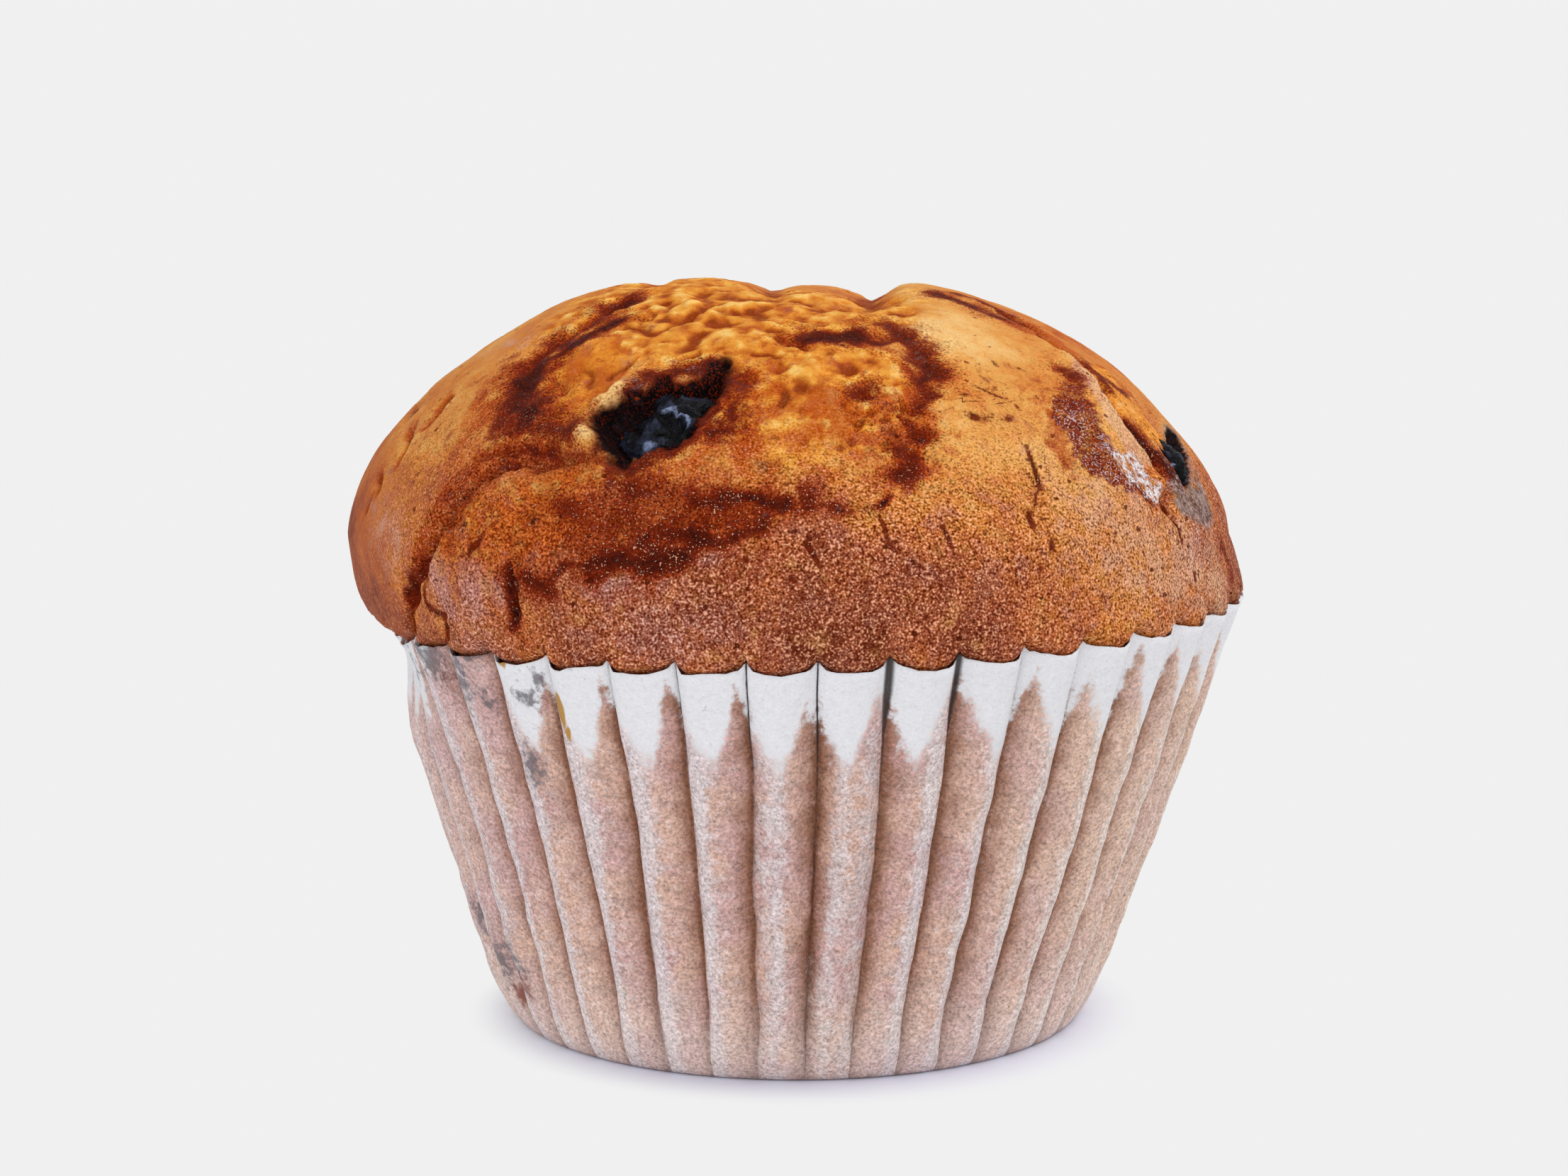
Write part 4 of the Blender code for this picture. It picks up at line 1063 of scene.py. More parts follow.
# broader patches: kind, strength, border
PATCHES = (
    # crumb laid bare beyond the fissure, and the skin that curls up beside it
    ("gold", 1.0, ((27.2, -7.9), (29.0, -7.1), (30.4, -9.5), (31.9, -9.7), (33.0, -11.1),
                   (33.9, -12.6), (36.0, -13.6), (37.4, -15.5), (36.6, -15.8), (34.7, -16.2),
                   (32.8, -17.7), (31.7, -18.0), (30.9, -18.2), (30.1, -17.5), (29.2, -16.6),
                   (28.2, -14.9), (27.4, -14.0), (26.7, -12.2))),
    ("cream", 1.0, ((24.3, -10.8), (25.7, -12.5), (26.9, -15.0), (28.1, -15.4), (28.8, -16.8),
                    (30.1, -18.4), (31.2, -19.2), (32.2, -20.0), (33.5, -20.6), (34.7, -21.0),
                    (34.4, -22.0), (32.5, -23.0), (30.9, -23.0), (30.1, -21.8), (28.9, -21.5),
                    (27.8, -20.6), (27.0, -18.8), (25.9, -17.6), (24.9, -16.2), (24.4, -13.8))),
    ("gold", 0.9, ((34.7, -20.9), (36.4, -19.6), (36.5, -21.8), (36.6, -23.1), (36.4, -24.2),
                   (35.7, -23.8), (34.9, -23.9), (34.4, -23.0))),
    ("gold", 0.85, ((-19.7, -12.9), (-15.2, -16.9), (-13.2, -21.4), (-14.6, -24.2),
                    (-16.4, -27.3), (-17.9, -29.3), (-20.1, -31.2), (-20.6, -28.0),
                    (-21.5, -22.9), (-21.1, -18.4), (-20.0, -16.0))),
    # skin soaked red brown: between the front bands, and above the left fold
    ("soaked", 1.0, ((-18.2, -36.4), (-13.5, -36.6), (-9.8, -38.2), (-3.5, -39.9), (1.0, -40.6),
                     (1.0, -41.9), (-2.2, -43.4), (-7.6, -44.3), (-12.5, -45.0), (-18.0, -43.2),
                     (-21.4, -41.4), (-22.0, -38.3), (-20.3, -36.9))),
    ("soaked", 0.9, ((-28.8, -25.4), (-25.1, -26.9), (-21.0, -27.6), (-19.9, -31.4),
                     (-22.2, -30.9), (-27.0, -29.6), (-30.1, -29.7), (-36.5, -28.9),
                     (-36.5, -27.8), (-33.4, -26.8))),
    ("soaked", 0.6, ((-25.1, -14.6), (-23.8, -20.4), (-20.9, -26.7), (-20.3, -29.9),
                     (-22.8, -29.5), (-26.8, -26.8), (-28.4, -22.8), (-27.9, -17.3))),
    # a sugary purple patch, and sugar melted white below it
    ("sugar", 1.0, ((23.9, -17.7), (25.3, -18.3), (26.3, -18.9), (27.3, -20.6), (28.1, -22.3),
                    (29.1, -23.5), (29.8, -25.4), (30.5, -25.9), (32.0, -25.9), (33.0, -26.6),
                    (31.5, -28.4), (29.8, -29.1), (28.3, -29.1), (26.7, -29.2), (25.3, -28.3),
                    (25.4, -26.7), (24.3, -26.4), (23.2, -25.2), (22.8, -23.3), (23.4, -20.3))),
    ("frost", 1.0, ((29.4, -24.6), (30.6, -23.4), (31.9, -22.1), (33.2, -22.0), (34.3, -23.2),
                    (35.4, -23.8), (36.5, -24.7), (35.2, -26.0), (33.0, -26.8), (31.4, -27.0),
                    (30.0, -26.7), (29.2, -25.8))),
    ("frost", 0.5, ((27.3, -24.4), (28.7, -22.7), (29.4, -23.8), (29.2, -25.9), (28.2, -26.4),
                    (27.4, -25.8))),
    ("frost", 0.6, ((28.0, -28.2), (28.9, -27.1), (29.9, -27.7), (29.1, -29.1))),
    # smoky skin round the berries
    ("ash", 0.6, ((32.2, -27.4), (33.8, -26.2), (35.9, -24.4), (36.9, -24.9), (36.4, -25.3),
                  (33.8, -27.5))),
    ("ash", 1.0, ((35.4, -14.5), (36.6, -18.0), (38.4, -18.3), (39.6, -14.5), (39.9, -10.0),
                  (41.0, -10.0), (42.4, -13.0), (44.3, -15.8), (43.6, -19.2), (41.0, -22.2),
                  (38.6, -23.0), (36.9, -23.0), (36.4, -20.5), (35.2, -18.0))),
    ("ash", 0.5, ((-14.2, -27.4), (-14.0, -25.0), (-13.1, -24.7), (-11.8, -25.2),
                  (-12.0, -27.2))),
    ("ash", 0.3, ((9.0, -17.6), (11.6, -18.6), (12.4, -24.4), (10.8, -24.2))),
    ("ash", 0.4, ((-10.2, -25.2), (-8.5, -24.4), (-6.9, -25.0), (-7.2, -26.9), (-10.0, -27.2))),
)
# where the dry skin has crinkled: middle, half sizes, turn, strength
CRINKLED = (
    ((17, -24), (7, 7), 20, 0.8), ((8, -48), (22, 7), 0, 0.6), ((-34, -20), (8, 12), 0, 0.7))
# where the skin is browner or paler than the rest of its ring; the paler places at the far left
# and low on the right flank are partly painted sheen: middle, half sizes, turn, by how much
BROWNING_AND_SHEEN = (
    ((-12, -41), (11, 4.5), -8, 0.24), ((20, -33), (12, 8), 30, -0.12),
    ((19, -20), (8, 9), 0, -0.02), ((36, -36), (13, 11), 40, -0.32),
    ((-26, -8), (8, 9), 0, -0.04), ((0, -46), (14, 5), 0, 0.06),
    ((-28, -46), (12, 6), 30, -0.10), ((5, -41), (12, 4), 0, -0.10),
    ((-40, -23), (6, 9), 0, -0.14), ((14, -15), (6, 7), 0, -0.34))
# mm inside its border where a patch is full
PATCH_EDGE = 0.45
ASH_EDGE = 1.4
# rounds of smoothing that the relief is set against for the painted shade and light, and how much
# each counts
HOLLOW_SHADE_SHARES = {8: 1.4, 80: 0.8}

width_luck = 1.0 + 0.55 * rough(2.4, 91.0, 2)
force_luck = 1.0 + 0.35 * rough(3.3, 97.0, 2)


def painted(strokes, feather=1.0):
    """The strongest of some brush strokes along routes on the map."""
    strength_of = np.zeros(len(map_u))
    for route, half_width, strength in strokes:
        gap, _ = route_gap(wander_u, wander_v, route)
        width = half_width * feather * np.clip(width_luck, 0.45, 1.8)
        stroke = np.exp(-(np.abs(gap) / width) ** 1.8)
        strength_of = np.maximum(strength_of, strength * stroke * np.clip(force_luck, 0.6, 1.25))
    return strength_of


patches = {kind: np.zeros(len(map_u)) for kind, _, _ in PATCHES}
ragged_border = 0.35 * rough(1.1, 113.0, 2)
for kind, strength, border in PATCHES:
    inward = inside(wander_u, wander_v, border) + ragged_border
    full_at = ASH_EDGE if kind == "ash" else PATCH_EDGE
    patches[kind] = np.maximum(patches[kind], strength * ease(inward, -0.35, full_at))
char = strongest(ease(crater, -1.5, 0.7), ease(side_crater, -0.6, 0.2), 0.25 * slot)
# baked dark along the near edge of the front crater
burnt = np.exp(-(np.clip(-crater, 0.0, None) / 1.3) ** 2) * ease(map_u, -14.5, -10.5)
burnt *= ease(-map_v, 25.5, 27.5)
# grain is strongest low down and in front, and weak on the crown and the left flank
grainy = 0.12 + 0.88 * ease(away / MM, 28.0, 46.0)
grainy *= 1.0 - 0.9 * lump(map_u, map_v, (-45, -12), (11, 20))
grainy *= 1.0 + 0.35 * lump(map_u, map_v, (4, -44), (24, 9))
# browner towards the rim
browning_and_sheen = sum(hills(BROWNING_AND_SHEEN), 0.42 + 0.36 * ease(away / MM, 36.0, 50.0))
browning_and_sheen += 0.10 * rough(7.0, 83.0, 2)
# painted shade in the hollows of the relief, and painted light on its ridges
heights = relief.reshape(CAKE_GRID + 1, CAKE_GRID + 1)
smoothed = heights.copy()
hollow = np.zeros_like(heights)
for rounds in range(1, max(HOLLOW_SHADE_SHARES) + 1):
    padded = np.pad(smoothed, 1, mode="edge")
    smoothed = (padded[:-2, 1:-1] + padded[2:, 1:-1] + padded[1:-1, :-2] + padded[1:-1, 2:]) / 4
    if rounds in HOLLOW_SHADE_SHARES:
        hollow += (smoothed - heights) * HOLLOW_SHADE_SHARES[rounds]
skin_fields = {
    "crumb": crumb,
    "juice_and_fold_shade": strongest(painted(JUICE_AND_FOLD_SHADE, 1.4), 0.62 * patches["sugar"], 0.34 * patches["soaked"]),
    "halo": strongest(painted(JUICE_AND_FOLD_SHADE, 2.6), 0.7 * patches["sugar"], 0.8 * patches["soaked"], burnt),
    "rust": strongest(painted(RUST), 1.3 * burnt, 3.6 * patches["gold"] * (1.0 - patches["gold"])),
    "gold": strongest(painted(GOLD), patches["gold"]),
    "cream": strongest(painted(CREAM_AND_SHEEN), patches["cream"]),
    "mauve_sheen": strongest(*hills(MAUVE_SHEEN, wander_u, wander_v)),
    "frost": patches["frost"],
    "sugary": patches["sugar"],
    "char": char,
    "ash": strongest(patches["ash"], 0.8 * np.exp(-(side_crater / 0.9) ** 2)),
    "browning_and_sheen": browning_and_sheen,
    "hollow": hollow.ravel(),
    "tear": tear,
    "grainy": grainy,
    "coarse": coarse,
    "crack_gap": crack_gap,
    "crack_force": crack_force,
    "crinkled": strongest(*hills(CRINKLED))}


def far_left_at(angle):
    """1 at the far left of the case, falling to 0 on either side. Angles start at the right."""
    return ease(-np.sin(angle + math.pi / 2), LEFT_BEGINS, LEFT_FULL)


relief *= MM * np.clip((travel[-1] - away) / EDGE_FADE, 0.0, 1.0)
slope_fall = np.gradient(outline_height, travel)
slope_run = np.gradient(outline_radius, travel)
reach_out = ring - relief * np.interp(away, travel, slope_fall)
place_z = level + relief * np.interp(away, travel, slope_run)
on_dome = np.clip((place_z - DOME_STARTS) / (DOME_LEVEL - DOME_STARTS), 0.0, 1.0)
place_z += CASE_RIM_TILT * reach_out * np.cos(bearing) * (1.0 - on_dome)
# the skin is held in by the paper's panels, and swells out again just over the rim
case_turn = np.mod(bearing + math.pi / 2 - PLEAT_PHASE, math.tau) / math.tau * PLEATS
case_phase = np.mod(case_turn, 1.0)
case_side = np.clip(np.sin(bearing + math.pi / 2) / PANEL_SWUNG_AT, -1.0, 1.0)
case_bend = math.log(0.5) / np.log(PANEL_TOP + PANEL_SWING * case_side)
case_panel = np.sin(math.pi * case_phase ** case_bend).clip(0.0, 1.0) ** PANEL_BULGE
far_left = far_left_at(bearing)
rim_level = CASE_RIM_HEIGHT + CASE_RIM_TILT * reach_out * np.cos(bearing)
rim_level -= RIM_SCALLOP * case_panel
rim_level -= LEFT_DROP * far_left
paper_reach = CASE_BASE_RADIUS + CASE_FLARE * np.minimum(place_z, CASE_RIM_HEIGHT)
under_rim = np.clip(rim_level - place_z, 0.0, None)
panel_filled = case_panel ** 1.4 * np.exp(-under_rim / PANEL_FILLED_DEPTH)
paper_reach -= CREASE_ROOM * PLEAT_DEPTH * (1.0 - panel_filled)
paper_reach -= LEFT_SQUEEZE * far_left
over = np.clip(place_z - rim_level, 0.0, None)
limit = paper_reach - PAPER_GAP + RIM_SWELL * over + RIM_SWELL_CURVE * over ** 2
# at the far left the crust hangs over the rim and curls in below it
reach_out -= far_left * LEFT_CURL * np.clip(LEFT_CURL_LEVEL - place_z, 0.0, None) ** 2
reach_out = np.minimum(reach_out, limit)
place_x = reach_out * np.cos(bearing) + CASE_LEAN * (1.0 - on_dome) - DOME_LEAN * on_dome
place_y = reach_out * np.sin(bearing)
points = np.stack([place_x, place_y, place_z], axis=1)

index = np.arange((CAKE_GRID + 1) ** 2).reshape(CAKE_GRID + 1, CAKE_GRID + 1)
faces = np.stack([index[:-1, :-1], index[1:, :-1], index[1:, 1:], index[:-1, 1:]], axis=-1)
# the hidden body: rings inside the case, closed by a base
edge_loop = np.concatenate([index[:-1, 0], index[-1, :-1], index[:0:-1, -1], index[0, :0:-1]])
edge_turn = np.arctan2(points[edge_loop, 1], points[edge_loop, 0])
loops = [edge_loop]
body = [points]
count = len(points)
for height in BODY_LEVELS:
    size = CASE_BASE_RADIUS + CASE_FLARE * height - PLEAT_DEPTH - BODY_GAP
    size = size - LEFT_SQUEEZE * far_left_at(edge_turn) * ease(height, *BODY_SQUEEZE_LEVELS)
    lean_here = CASE_LEAN * min(height / CASE_LEAN_HEIGHT, 1.0) ** 2
    body.append(np.stack([size * np.cos(edge_turn) + lean_here, size * np.sin(edge_turn),
                          np.full(len(edge_turn), height)], axis=1))
    loops.append(np.arange(count, count + len(edge_turn)))
    count += len(edge_turn)
body.append(np.array([[0.0, 0.0, BODY_LEVELS[-1]]]))
quads = [faces.reshape(-1, 4)]
for upper, lower in zip(loops[:-1], loops[1:]):
    quads.append(np.stack([upper, lower, np.roll(lower, -1), np.roll(upper, -1)], axis=-1))
fan = [(int(a), count, int(b)) for a, b in zip(loops[-1], np.roll(loops[-1], -1))]
all_points = np.concatenate(body)
cake_mesh = bpy.data.meshes.new("cake")
cake_mesh.from_pydata(all_points.tolist(), [], np.concatenate(quads).tolist() + fan)
cake_mesh.update()
cake_mesh.shade_smooth()
cake = put_in_scene("cake", cake_mesh)
unseen = np.zeros(len(all_points) - len(points))
for name, values in skin_fields.items():
    paint(cake_mesh, name, np.append(values, unseen))

# baked crust: egg, sugar and flour browned dry by the oven. It is matt, tan to red brown,
# finely pitted low down, and torn to a yellow crumb at the crown.
crust, tree = new_material("baked_crust")


def colours_along(value, *stops):
    """The colour at a number between 0 and 1. Each stop is a place and its hex code."""
    made = add_node(tree, "ShaderNodeValToRGB", {"Fac": value})
    for place, _ in stops[1:-1]:
        made.color_ramp.elements.new(place)
    for element, (_, code) in zip(made.color_ramp.elements, stops):
        element.color = hex_colour(code)
    return made.outputs[0]


field = fields(*skin_fields)
# grain sizes in mm: sugar grit, the crumb's grain, mottling, and how the colour drifts
grit = noise_at(0.19, 0.0)
fine = noise_at(0.34, 1.0, 0.8)
speck = noise_at(0.42, 3.0, 0.7)
mottle = noise_at(1.3, 3.0, 0.65)
soft_mottle = noise_at(1.7, 1.5, 0.5)
blotch = noise_at(2.6, 2.0, 0.6)
drift = noise_at(4.5, 2.0, 0.5)
# the skin: tan where it is thin, red brown low down, darker in the hollows and lighter on the
# ridges with painted shade and light
browning_light_and_shade_at = weigh(field["browning_and_sheen"], (mottle, 0.50), (drift, 0.40), (field["hollow"], 0.35))
skin = colours_along(browning_light_and_shade_at, (0.0, "#EBBC78"), (0.22, "#DF9E50"), (0.42, "#D07E36"),
                     (0.62, "#BA6434"), (0.80, "#9C5034"), (1.0, "#642812"))
# the torn crumb: yellow tops and burnt orange gaps, partly painted light and shade
crumb_at = weigh(0.50, (soft_mottle, 1.9), (mottle, 0.5), (drift, 0.5), (field["hollow"], -0.7))
crumb_skin = colours_along(crumb_at, (0.0, "#7E2E06"), (0.25, "#B2540E"), (0.50, "#D47F28"),
                           (0.75, "#E69E3C"), (1.0, "#F4C46C"))
colour = tint(sum_up("MULTIPLY", field["crumb"], 0.9), skin, crumb_skin)
# cream where the skin has lifted thin, with painted sheen on the flanks, and gold where the crumb
# is bare
colour = stain(colour, weigh(field["cream"], (mottle, 1.5)), 0.2, 1.0, 0.68, "#DCAE8A")
gold_on = ramp_up(weigh(field["gold"], (mottle, 0.9)), 0.25, 0.8, 0.88)
gold_tone = stain(hex_colour("#C86A1A"), mottle, -0.2, 0.0, 1.0, "#E89430")
gold_tone = stain(gold_tone, mottle, 0.0, 0.22, 1.0, "#F6C270")
colour = tint(gold_on, colour, gold_tone)
# rust, thicker where the skin is coarse and in blotches over the crumb
rust_at = weigh(field["rust"], (mottle, 1.0), (sum_up("MULTIPLY", mottle, 1.6), field["coarse"]),
                (field["coarse"], 0.42), (weigh(0.08, (blotch, 2.2)), field["crumb"]),
                (speck, 0.5))
colour = stain(colour, rust_at, 0.15, 0.85, 0.82, "#B44A0C")
# painted sheen, mauve grey and mottled
mauve_sheen_at = weigh(field["mauve_sheen"], (mottle, 0.6), (speck, 0.8))
colour = stain(colour, mauve_sheen_at, 0.1, 1.0, 0.60, "#C08C84")
colour = stain(colour, weigh(field["tear"], (mottle, 0.6)), 0.2, 0.95, 0.85, "#8A3206")
# painted shade: the hollows of the relief darkened to orange brown
colour = stain(colour, field["hollow"], 0.08, 0.7, 0.75, "#8E3804")
# low down the skin changes from golden to mauve brown every few millimetres
mauve_on = sum_up("MULTIPLY", ramp_up(blotch, 0.02, 0.2, 0.45), field["grainy"])
colour = tint(mauve_on, colour, hex_colour("#A0604E"))
honey_on = sum_up("MULTIPLY", ramp_up(blotch, -0.06, -0.2, 0.25), field["grainy"])
colour = tint(honey_on, colour, hex_colour("#D09A58"))
# grain: tan flecks and dark pits low down, smoother towards the crown
rough_skin = sum_up("MAXIMUM", field["grainy"], sum_up("MULTIPLY", field["coarse"], 0.8))
colour = brighten(colour, weigh(1.0, (fine, weigh(0.05, (rough_skin, 0.30)))))
colour = brighten(colour, weigh(1.0, (mottle, weigh(0.22, (rough_skin, 0.35)))))
grain_mix = weigh(grit, (fine, 0.3), (speck, 0.5))
pit_on = sum_up("MULTIPLY", ramp_up(sum_up("MULTIPLY", grain_mix, -1.0), 0.02, 0.26),
                sum_up("MULTIPLY", rough_skin, 0.85))
pit_tone = tint(rough_skin, hex_colour("#8A3404"), hex_colour("#4C1200"))
colour = tint(pit_on, colour, tint(0.62, colour, pit_tone))
fleck_on = sum_up("MULTIPLY", ramp_up(grain_mix, 0.04, 0.30),
                  sum_up("MULTIPLY", rough_skin, 0.60))
fleck_tone = stain(hex_colour("#E0A684"), field["mauve_sheen"], 0.1, 0.7, 1.0, "#E6C6C4")
fleck_tone = stain(fleck_tone, field["coarse"], 0.1, 0.7, 1.0, "#D8843E")
colour = tint(fleck_on, colour, fleck_tone)
# fruit juice: an orange stain, then maroon, then nearly black; along the left fold it is painted
# shade
halo_at = weigh(field["halo"], (mottle, 0.9), (speck, 0.5))
colour = stain(colour, halo_at, 0.25, 0.9, 0.75, "#9A3C10")
juice_and_fold_shade_at = weigh(field["juice_and_fold_shade"], (speck, 1.3), (mottle, 1.3), (fine, 0.5))
colour = stain(colour, juice_and_fold_shade_at, 0.22, 0.72, 0.88, "#721E08")
colour = stain(colour, juice_and_fold_shade_at, 0.58, 1.12, 0.85, "#3C0E08")
colour = stain(colour, juice_and_fold_shade_at, 1.00, 1.45, 0.75, "#1A080A")
# char in the craters, ash on the skin round them, and white melted sugar
char_at = weigh(field["char"], (mottle, 0.7))
char_on = ramp_up(weigh(char_at, (speck, 0.4)), 0.30, 0.80)
colour = stain(colour, char_at, 0.0, 0.6, 0.7, "#6A2414")
soot = stain(hex_colour("#050304"), mottle, 0.0, 0.35, 1.0, "#221A20")
colour = tint(char_on, colour, soot)
ash_on = ramp_up(weigh(field["ash"], (mottle, 1.2), (speck, 1.0)), 0.15, 1.0, 0.85)
fine_mottle = sum_up("ADD", mottle, speck)
ash_tone = stain(hex_colour("#2C3432"), fine_mottle, -0.18, 0.10, 1.0, "#8E8280")
ash_tone = stain(ash_tone, sum_up("ADD", mottle, drift), 0.02, 0.20, 1.0, "#B48E84")
colour = tint(sum_up("MULTIPLY", ash_on, rest_of(char_on)), colour, ash_tone)
frost_on = ramp_up(weigh(field["frost"], (mottle, 2.0), (speck, 2.4)), 0.50, 1.40, 0.92)
frost_on = sum_up("MULTIPLY", frost_on, ramp_up(field["frost"], 0.05, 0.35))
frost_tone = stain(hex_colour("#4A3C40"), fine_mottle, -0.16, 0.10, 1.0, "#DCDBE0")
colour = tint(frost_on, colour, frost_tone)
# the grain shows through every stain, its light specks partly painted glints
stained = sum_up("MULTIPLY", field["halo"], 2.3)
colour = brighten(colour, weigh(1.0, (mottle, sum_up("MULTIPLY", stained, 0.5))))
grain_and_glint = sum_up("MULTIPLY", grain_mix, sum_up("MAXIMUM", rough_skin, stained))
colour = brighten(colour, weigh(1.0, (sum_up("MAXIMUM", grain_and_glint, 0.0), 1.1)))
pitted = sum_up("MULTIPLY", grain_and_glint, -2.1, clamp=True)
colour = tint(pitted, colour, hex_colour("#5E1802"))
# cracks, broken here and there
crack_near = sum_up("ABSOLUTE", weigh(field["crack_gap"], (noise_at(0.9, 3.0), 3.6)))
crack_break = weigh(field["crack_force"], (speck, 1.6))
crack_on = sum_up("MULTIPLY", rest_of(ramp_up(crack_near, 0.8, 2.3)),
                  ramp_up(crack_break, 0.3, 0.8))
crack_tone = stain(hex_colour("#701E04"), crack_break, 0.75, 1.1, 1.0, "#480F02")
colour = tint(sum_up("MULTIPLY", crack_on, 0.95), colour, crack_tone)
# crinkles, where the dry skin has stretched as it rose
off_crumb = rest_of(field["crumb"])
crinkle_on = rest_of(ramp_up(sum_up("ABSOLUTE", noise_at(2.1, 4.0, 0.65)), 0.004, 0.034))
crinkle_break = weigh(sum_up("ADD", blotch, speck), (field["crinkled"], 0.35))
crinkle_on = sum_up("MULTIPLY", crinkle_on, ramp_up(crinkle_break, 0.20, 0.42))
crinkle_on = sum_up("MULTIPLY", crinkle_on, off_crumb)
colour = tint(sum_up("MULTIPLY", crinkle_on, 0.70), colour, hex_colour("#923E10"))
# pores, a little over a millimetre apart
pores = add_node(tree, "ShaderNodeTexVoronoi", {
    "Vector": add_node(tree, "ShaderNodeTexCoord").outputs["Object"], "Scale": 850.0})
pore_luck = add_node(tree, "ShaderNodeSeparateColor", {0: pores.outputs["Color"]}).outputs
pore_size = sum_up("MULTIPLY", ramp_up(pore_luck[0], 0.55, 1.0), 0.22)
pore_reach = weigh(pores.outputs["Distance"], (fine, 0.35))
pore_on = ramp_up(sum_up("SUBTRACT", pore_size, pore_reach), 0.0, 0.05)
pore_on = sum_up("MULTIPLY", pore_on, off_crumb)
pore_tone = tint(rough_skin, hex_colour("#8A360A"), hex_colour("#541602"))
colour = tint(sum_up("MULTIPLY", pore_on, 0.85), colour, pore_tone)
# sugar crystals, partly painted glints, thick on the patch at the right and along the dark bands
sugar_and_glint_at = weigh(noise_at(0.16, 0.0), (speck, 0.5), (field["juice_and_fold_shade"], 0.045),
                 (field["sugary"], 0.10), (field["mauve_sheen"], 0.04), (blotch, 0.30),
                 (field["char"], -0.3))
sugar_and_glint_on = sum_up("MULTIPLY", ramp_up(sugar_and_glint_at, 0.25, 0.33), rough_skin)
sugar_and_glint_tone = tint(field["sugary"], hex_colour("#DCA684"), hex_colour("#E8CCCC"))
colour = tint(sum_up("MULTIPLY", sugar_and_glint_on, 0.75), colour, sugar_and_glint_tone)
# fine relief: grain low down, smoother knobs towards the crown, and what is cut into them
crust_height = sum_up("MULTIPLY", weigh(speck, (fine, 0.5)), field["grainy"])
smooth_share = sum_up("SUBTRACT", 1.2, sum_up("MULTIPLY", field["grainy"], 0.8))
crust_height = weigh(crust_height, (mottle, smooth_share))
crust_height = sum_up("SUBTRACT", crust_height, sum_up("MULTIPLY", pore_on, rough_skin))
crust_height = weigh(crust_height, (crack_on, -0.6), (crinkle_on, -0.3))
crust_bump = add_node(tree, "ShaderNodeBump", {
    "Strength": 1.0, "Distance": 0.00022, "Height": crust_height})
crust_shader = add_node(tree, "ShaderNodeBsdfPrincipled", {
    "Base Color": colour, "Roughness": 0.6, "Specular IOR Level": 0.03,
    "Normal": crust_bump.outputs[0]})
add_node(tree, "ShaderNodeOutputMaterial", {"Surface": crust_shader.outputs[0]})
cake_mesh.materials.append(crust)
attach(cake, "root")
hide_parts("muffin")


# ---------------------------------------------------------------------------
# Berries. Two whole fruits baked into the crust, their skins burst, sunk and
# wrinkled, near black with a little blue wax left on the ridges. Each keeps
# the raised ring of its blossom end.
# ---------------------------------------------------------------------------
# place on the map, half sizes, turn, depth of the middle, blossom ring: place and radius
BERRIES = (
    ("berry_front", (-11, -30.3), (5.4, 4.7, 3.9), 0, 3.7, (1.2, -1.3), 1.45),
    ("berry_side", (37.6, -16.6), (4.4, 2.7, 3.3), 80, 3.0, (-0.8, 0.9), 1.3),
)
SKIN_FINENESS = 5
# folds: how deep each size of fold cuts, as a share of the berry's half size
FOLD_DEPTH = 0.20
FINE_FOLD_DEPTH = 0.09
# mm: the ring's height, the bowl inside it, and the side that has sunk
RING_HEIGHT = 0.35
RING_BOWL = 0.75
SUNK_DEPTH = 1.5
SUNK_PLACE = (-2.6, 0.6)
SUNK_HALF = (2.0, 2.4)
# painted highlights beside the ring: place from the ring's middle, half sizes, strength
HIGHLIGHT_SPOTS = (((-1.7, -2.0), (0.6, 0.5), 0.9), ((-0.5, -1.6), (0.7, 0.4), 0.6),
       ((0.1, 0.2), (0.4, 0.4), 0.5))

# baked berry skin: thin, tough and wet with juice, so it shines. It has cooked near black,
# and its wax greys the ridges that stay dry.
berry_skin, tree = new_material("baked_berry_skin")
field = fields("ridge", "sunk_and_shaded", "ring")
skin_grain = noise_at(0.35, 3.0, 0.7)
skin_cloud = noise_at(1.3, 2.0, 0.6)
waxed = weigh(field["ridge"], (skin_cloud, 1.2), (skin_grain, 0.8))
berry_colour = stain(hex_colour("#07060A"), waxed, 0.45, 1.30, 0.70, "#39405A")
# painted highlights on the blossom ring and in spots beside it
ring_highlight_at = weigh(field["ring"], (skin_grain, 0.8))
berry_colour = stain(berry_colour, ring_highlight_at, 0.35, 1.0, 0.95, "#8C98BC")
# painted shade: the sunk side and the back of the berry darkened further
berry_colour = stain(berry_colour, field["sunk_and_shaded"], 0.3, 1.0, 0.85, "#080508")
berry_bump = add_node(tree, "ShaderNodeBump", {
    "Strength": 1.0, "Distance": 0.00028, "Height": sum_up("ADD", skin_grain, skin_cloud)})
berry_shader = add_node(tree, "ShaderNodeBsdfPrincipled", {
    "Base Color": berry_colour, "Roughness": 0.17, "Specular IOR Level": 0.14,
    "Normal": berry_bump.outputs[0]})
add_node(tree, "ShaderNodeOutputMaterial", {"Surface": berry_shader.outputs[0]})

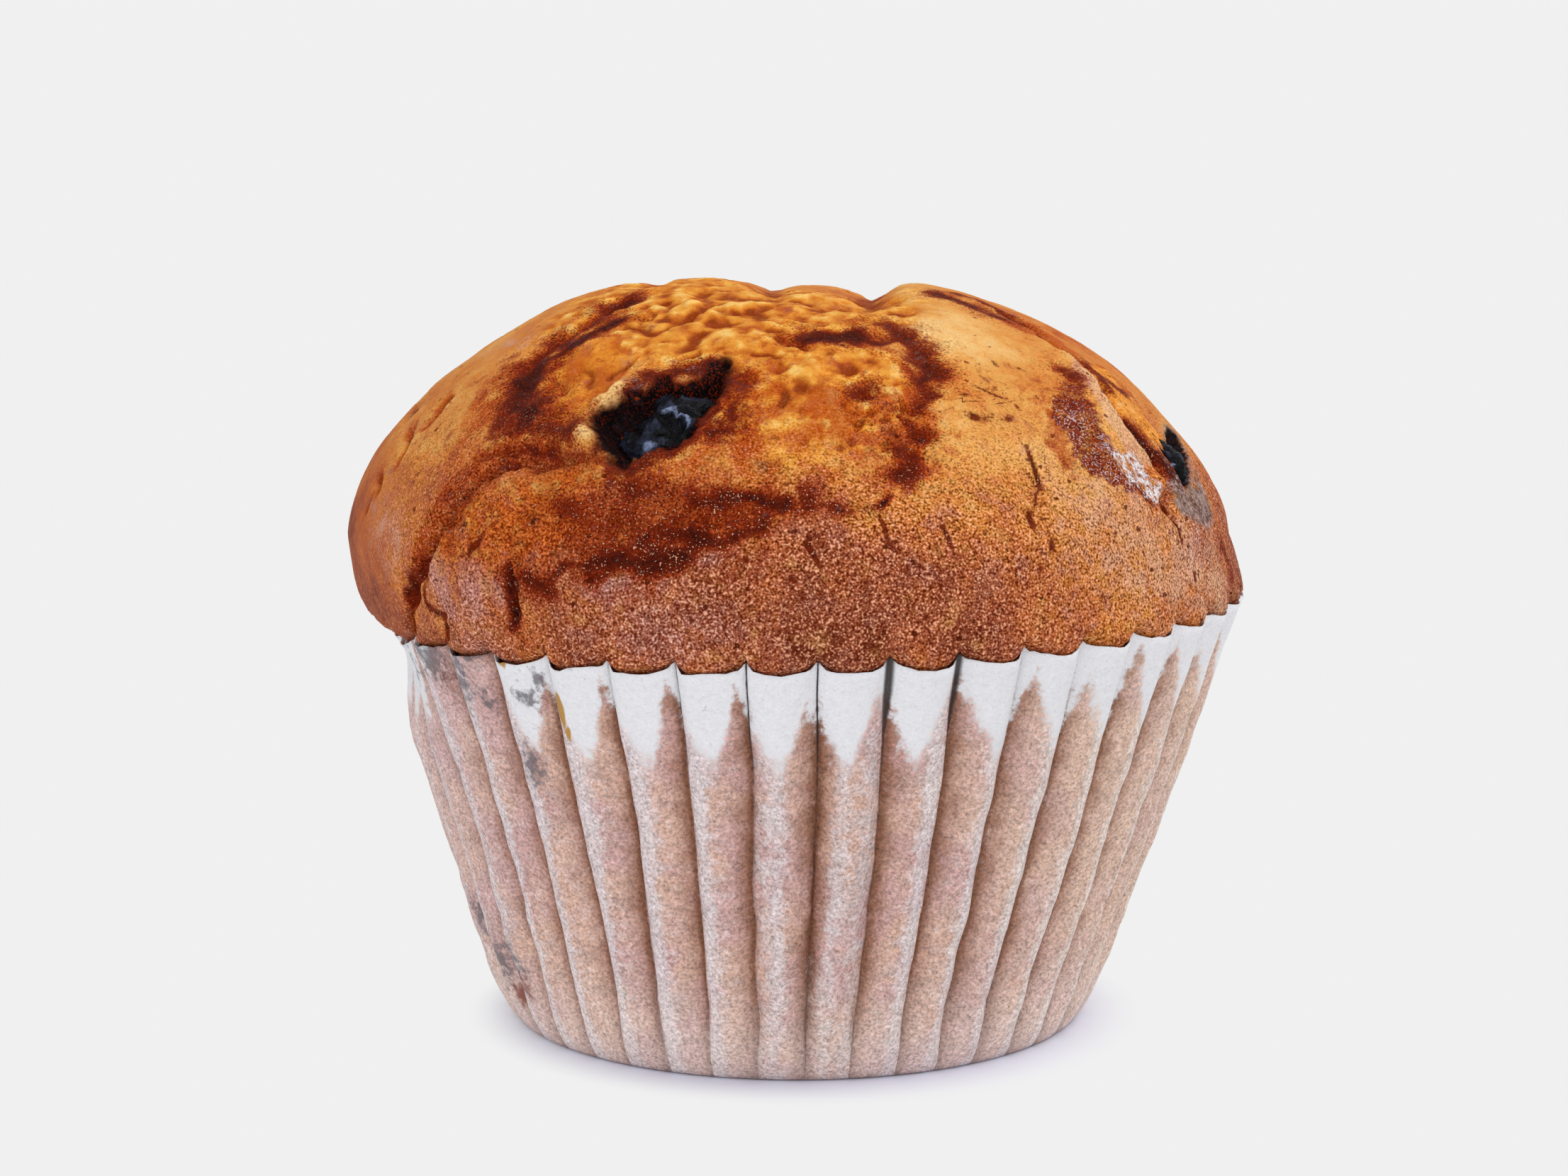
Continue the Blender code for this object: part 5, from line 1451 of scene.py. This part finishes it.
for name, place, half, turn_by, depth, ring_place, ring_radius in BERRIES:
    bpy.ops.mesh.primitive_ico_sphere_add(subdivisions=SKIN_FINENESS, radius=1.0)
    berry = bpy.context.active_object
    berry.name = "wrinkled_" + name
    berry_mesh = berry.data
    unit = points_of(berry_mesh)
    seed = place[0]
    facing = ease(unit[:, 2], -0.2, 0.6)
    folds = np.abs(rough(0.62, seed + 3.0, 2, 0.5, unit[:, 0] + 0.6 * unit[:, 2],
                         unit[:, 1] - 0.5 * unit[:, 2]))
    fine_folds = np.abs(rough(0.27, seed + 9.0, 2, 0.5, unit[:, 0], unit[:, 1] + unit[:, 2]))
    flat_x = unit[:, 0] * half[0]
    flat_y = unit[:, 1] * half[1]
    from_ring = np.hypot(flat_x - ring_place[0], flat_y - ring_place[1])
    ring_ridge = np.exp(-((from_ring - ring_radius) / 0.24) ** 2) * facing
    ring_ridge += 0.4 * np.exp(-((from_ring - 1.75 * ring_radius) / 0.25) ** 2) * facing
    # painted highlight on the raised ring, brightest on its upper side
    ring_upper_side = (flat_y - ring_place[1] + 0.4 * (flat_x - ring_place[0])) / from_ring
    ring_highlight = ring_ridge * (0.25 + 0.75 * ease(ring_upper_side, -0.3, 0.9))
    highlight_spots = sum(
        strength * lump(flat_x, flat_y, (ring_place[0] + off[0], ring_place[1] + off[1]), spot_half)
        for off, spot_half, strength in HIGHLIGHT_SPOTS) * facing
    ring_bowl = np.exp(-(from_ring / (0.8 * ring_radius)) ** 4) * facing
    sunk_and_shaded = lump(flat_x, flat_y, SUNK_PLACE, SUNK_HALF) * facing
    # folded all over except inside the ring
    swell = 1.0 - FOLD_DEPTH * (1.0 - np.clip(folds * 3.0, 0.0, 1.0)) * (1.0 - 0.6 * ring_bowl)
    swell -= FINE_FOLD_DEPTH * (1.0 - np.clip(fine_folds * 2.5, 0.0, 1.0))
    shaped = unit * np.array(half) * swell[:, None]
    shaped[:, 2] += RING_HEIGHT * ring_ridge - RING_BOWL * ring_bowl - SUNK_DEPTH * sunk_and_shaded
    # stood on the dome, facing straight out of it
    bearing_of = math.atan2(place[1], place[0])
    away_of = math.hypot(*place) * MM
    radius_of = float(np.interp(away_of, travel, outline_radius))
    fall = float(np.interp(away_of, travel, slope_fall))
    run_out = float(np.interp(away_of, travel, slope_run))
    out = Vector((-fall * math.cos(bearing_of), -fall * math.sin(bearing_of), run_out))
    out.normalize()
    middle = Vector((
        radius_of * math.cos(bearing_of) - DOME_LEAN, radius_of * math.sin(bearing_of),
        float(np.interp(away_of, travel, outline_height))))
    middle -= out * depth * MM
    c, s = math.cos(math.radians(turn_by)), math.sin(math.radians(turn_by))
    spun = np.stack([shaped[:, 0] * c - shaped[:, 1] * s,
                     shaped[:, 0] * s + shaped[:, 1] * c, shaped[:, 2]], axis=1) * MM
    facing_out = np.array(out.to_track_quat("Z", "Y").to_matrix())
    berry_mesh.vertices.foreach_set("co", (spun @ facing_out.T + np.array(middle)).ravel())
    paint(berry_mesh, "ridge", 0.35 + 0.5 * np.clip(folds * 3.0 - 0.6, 0.0, 1.0))
    paint(berry_mesh, "ring", np.maximum(ring_highlight, highlight_spots))
    paint(berry_mesh, "sunk_and_shaded", np.maximum(sunk_and_shaded, 1.0 - facing))
    berry_mesh.shade_smooth()
    berry_mesh.materials.append(berry_skin)
    berry_mesh.update()
    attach(berry, "root")
    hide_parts(name)
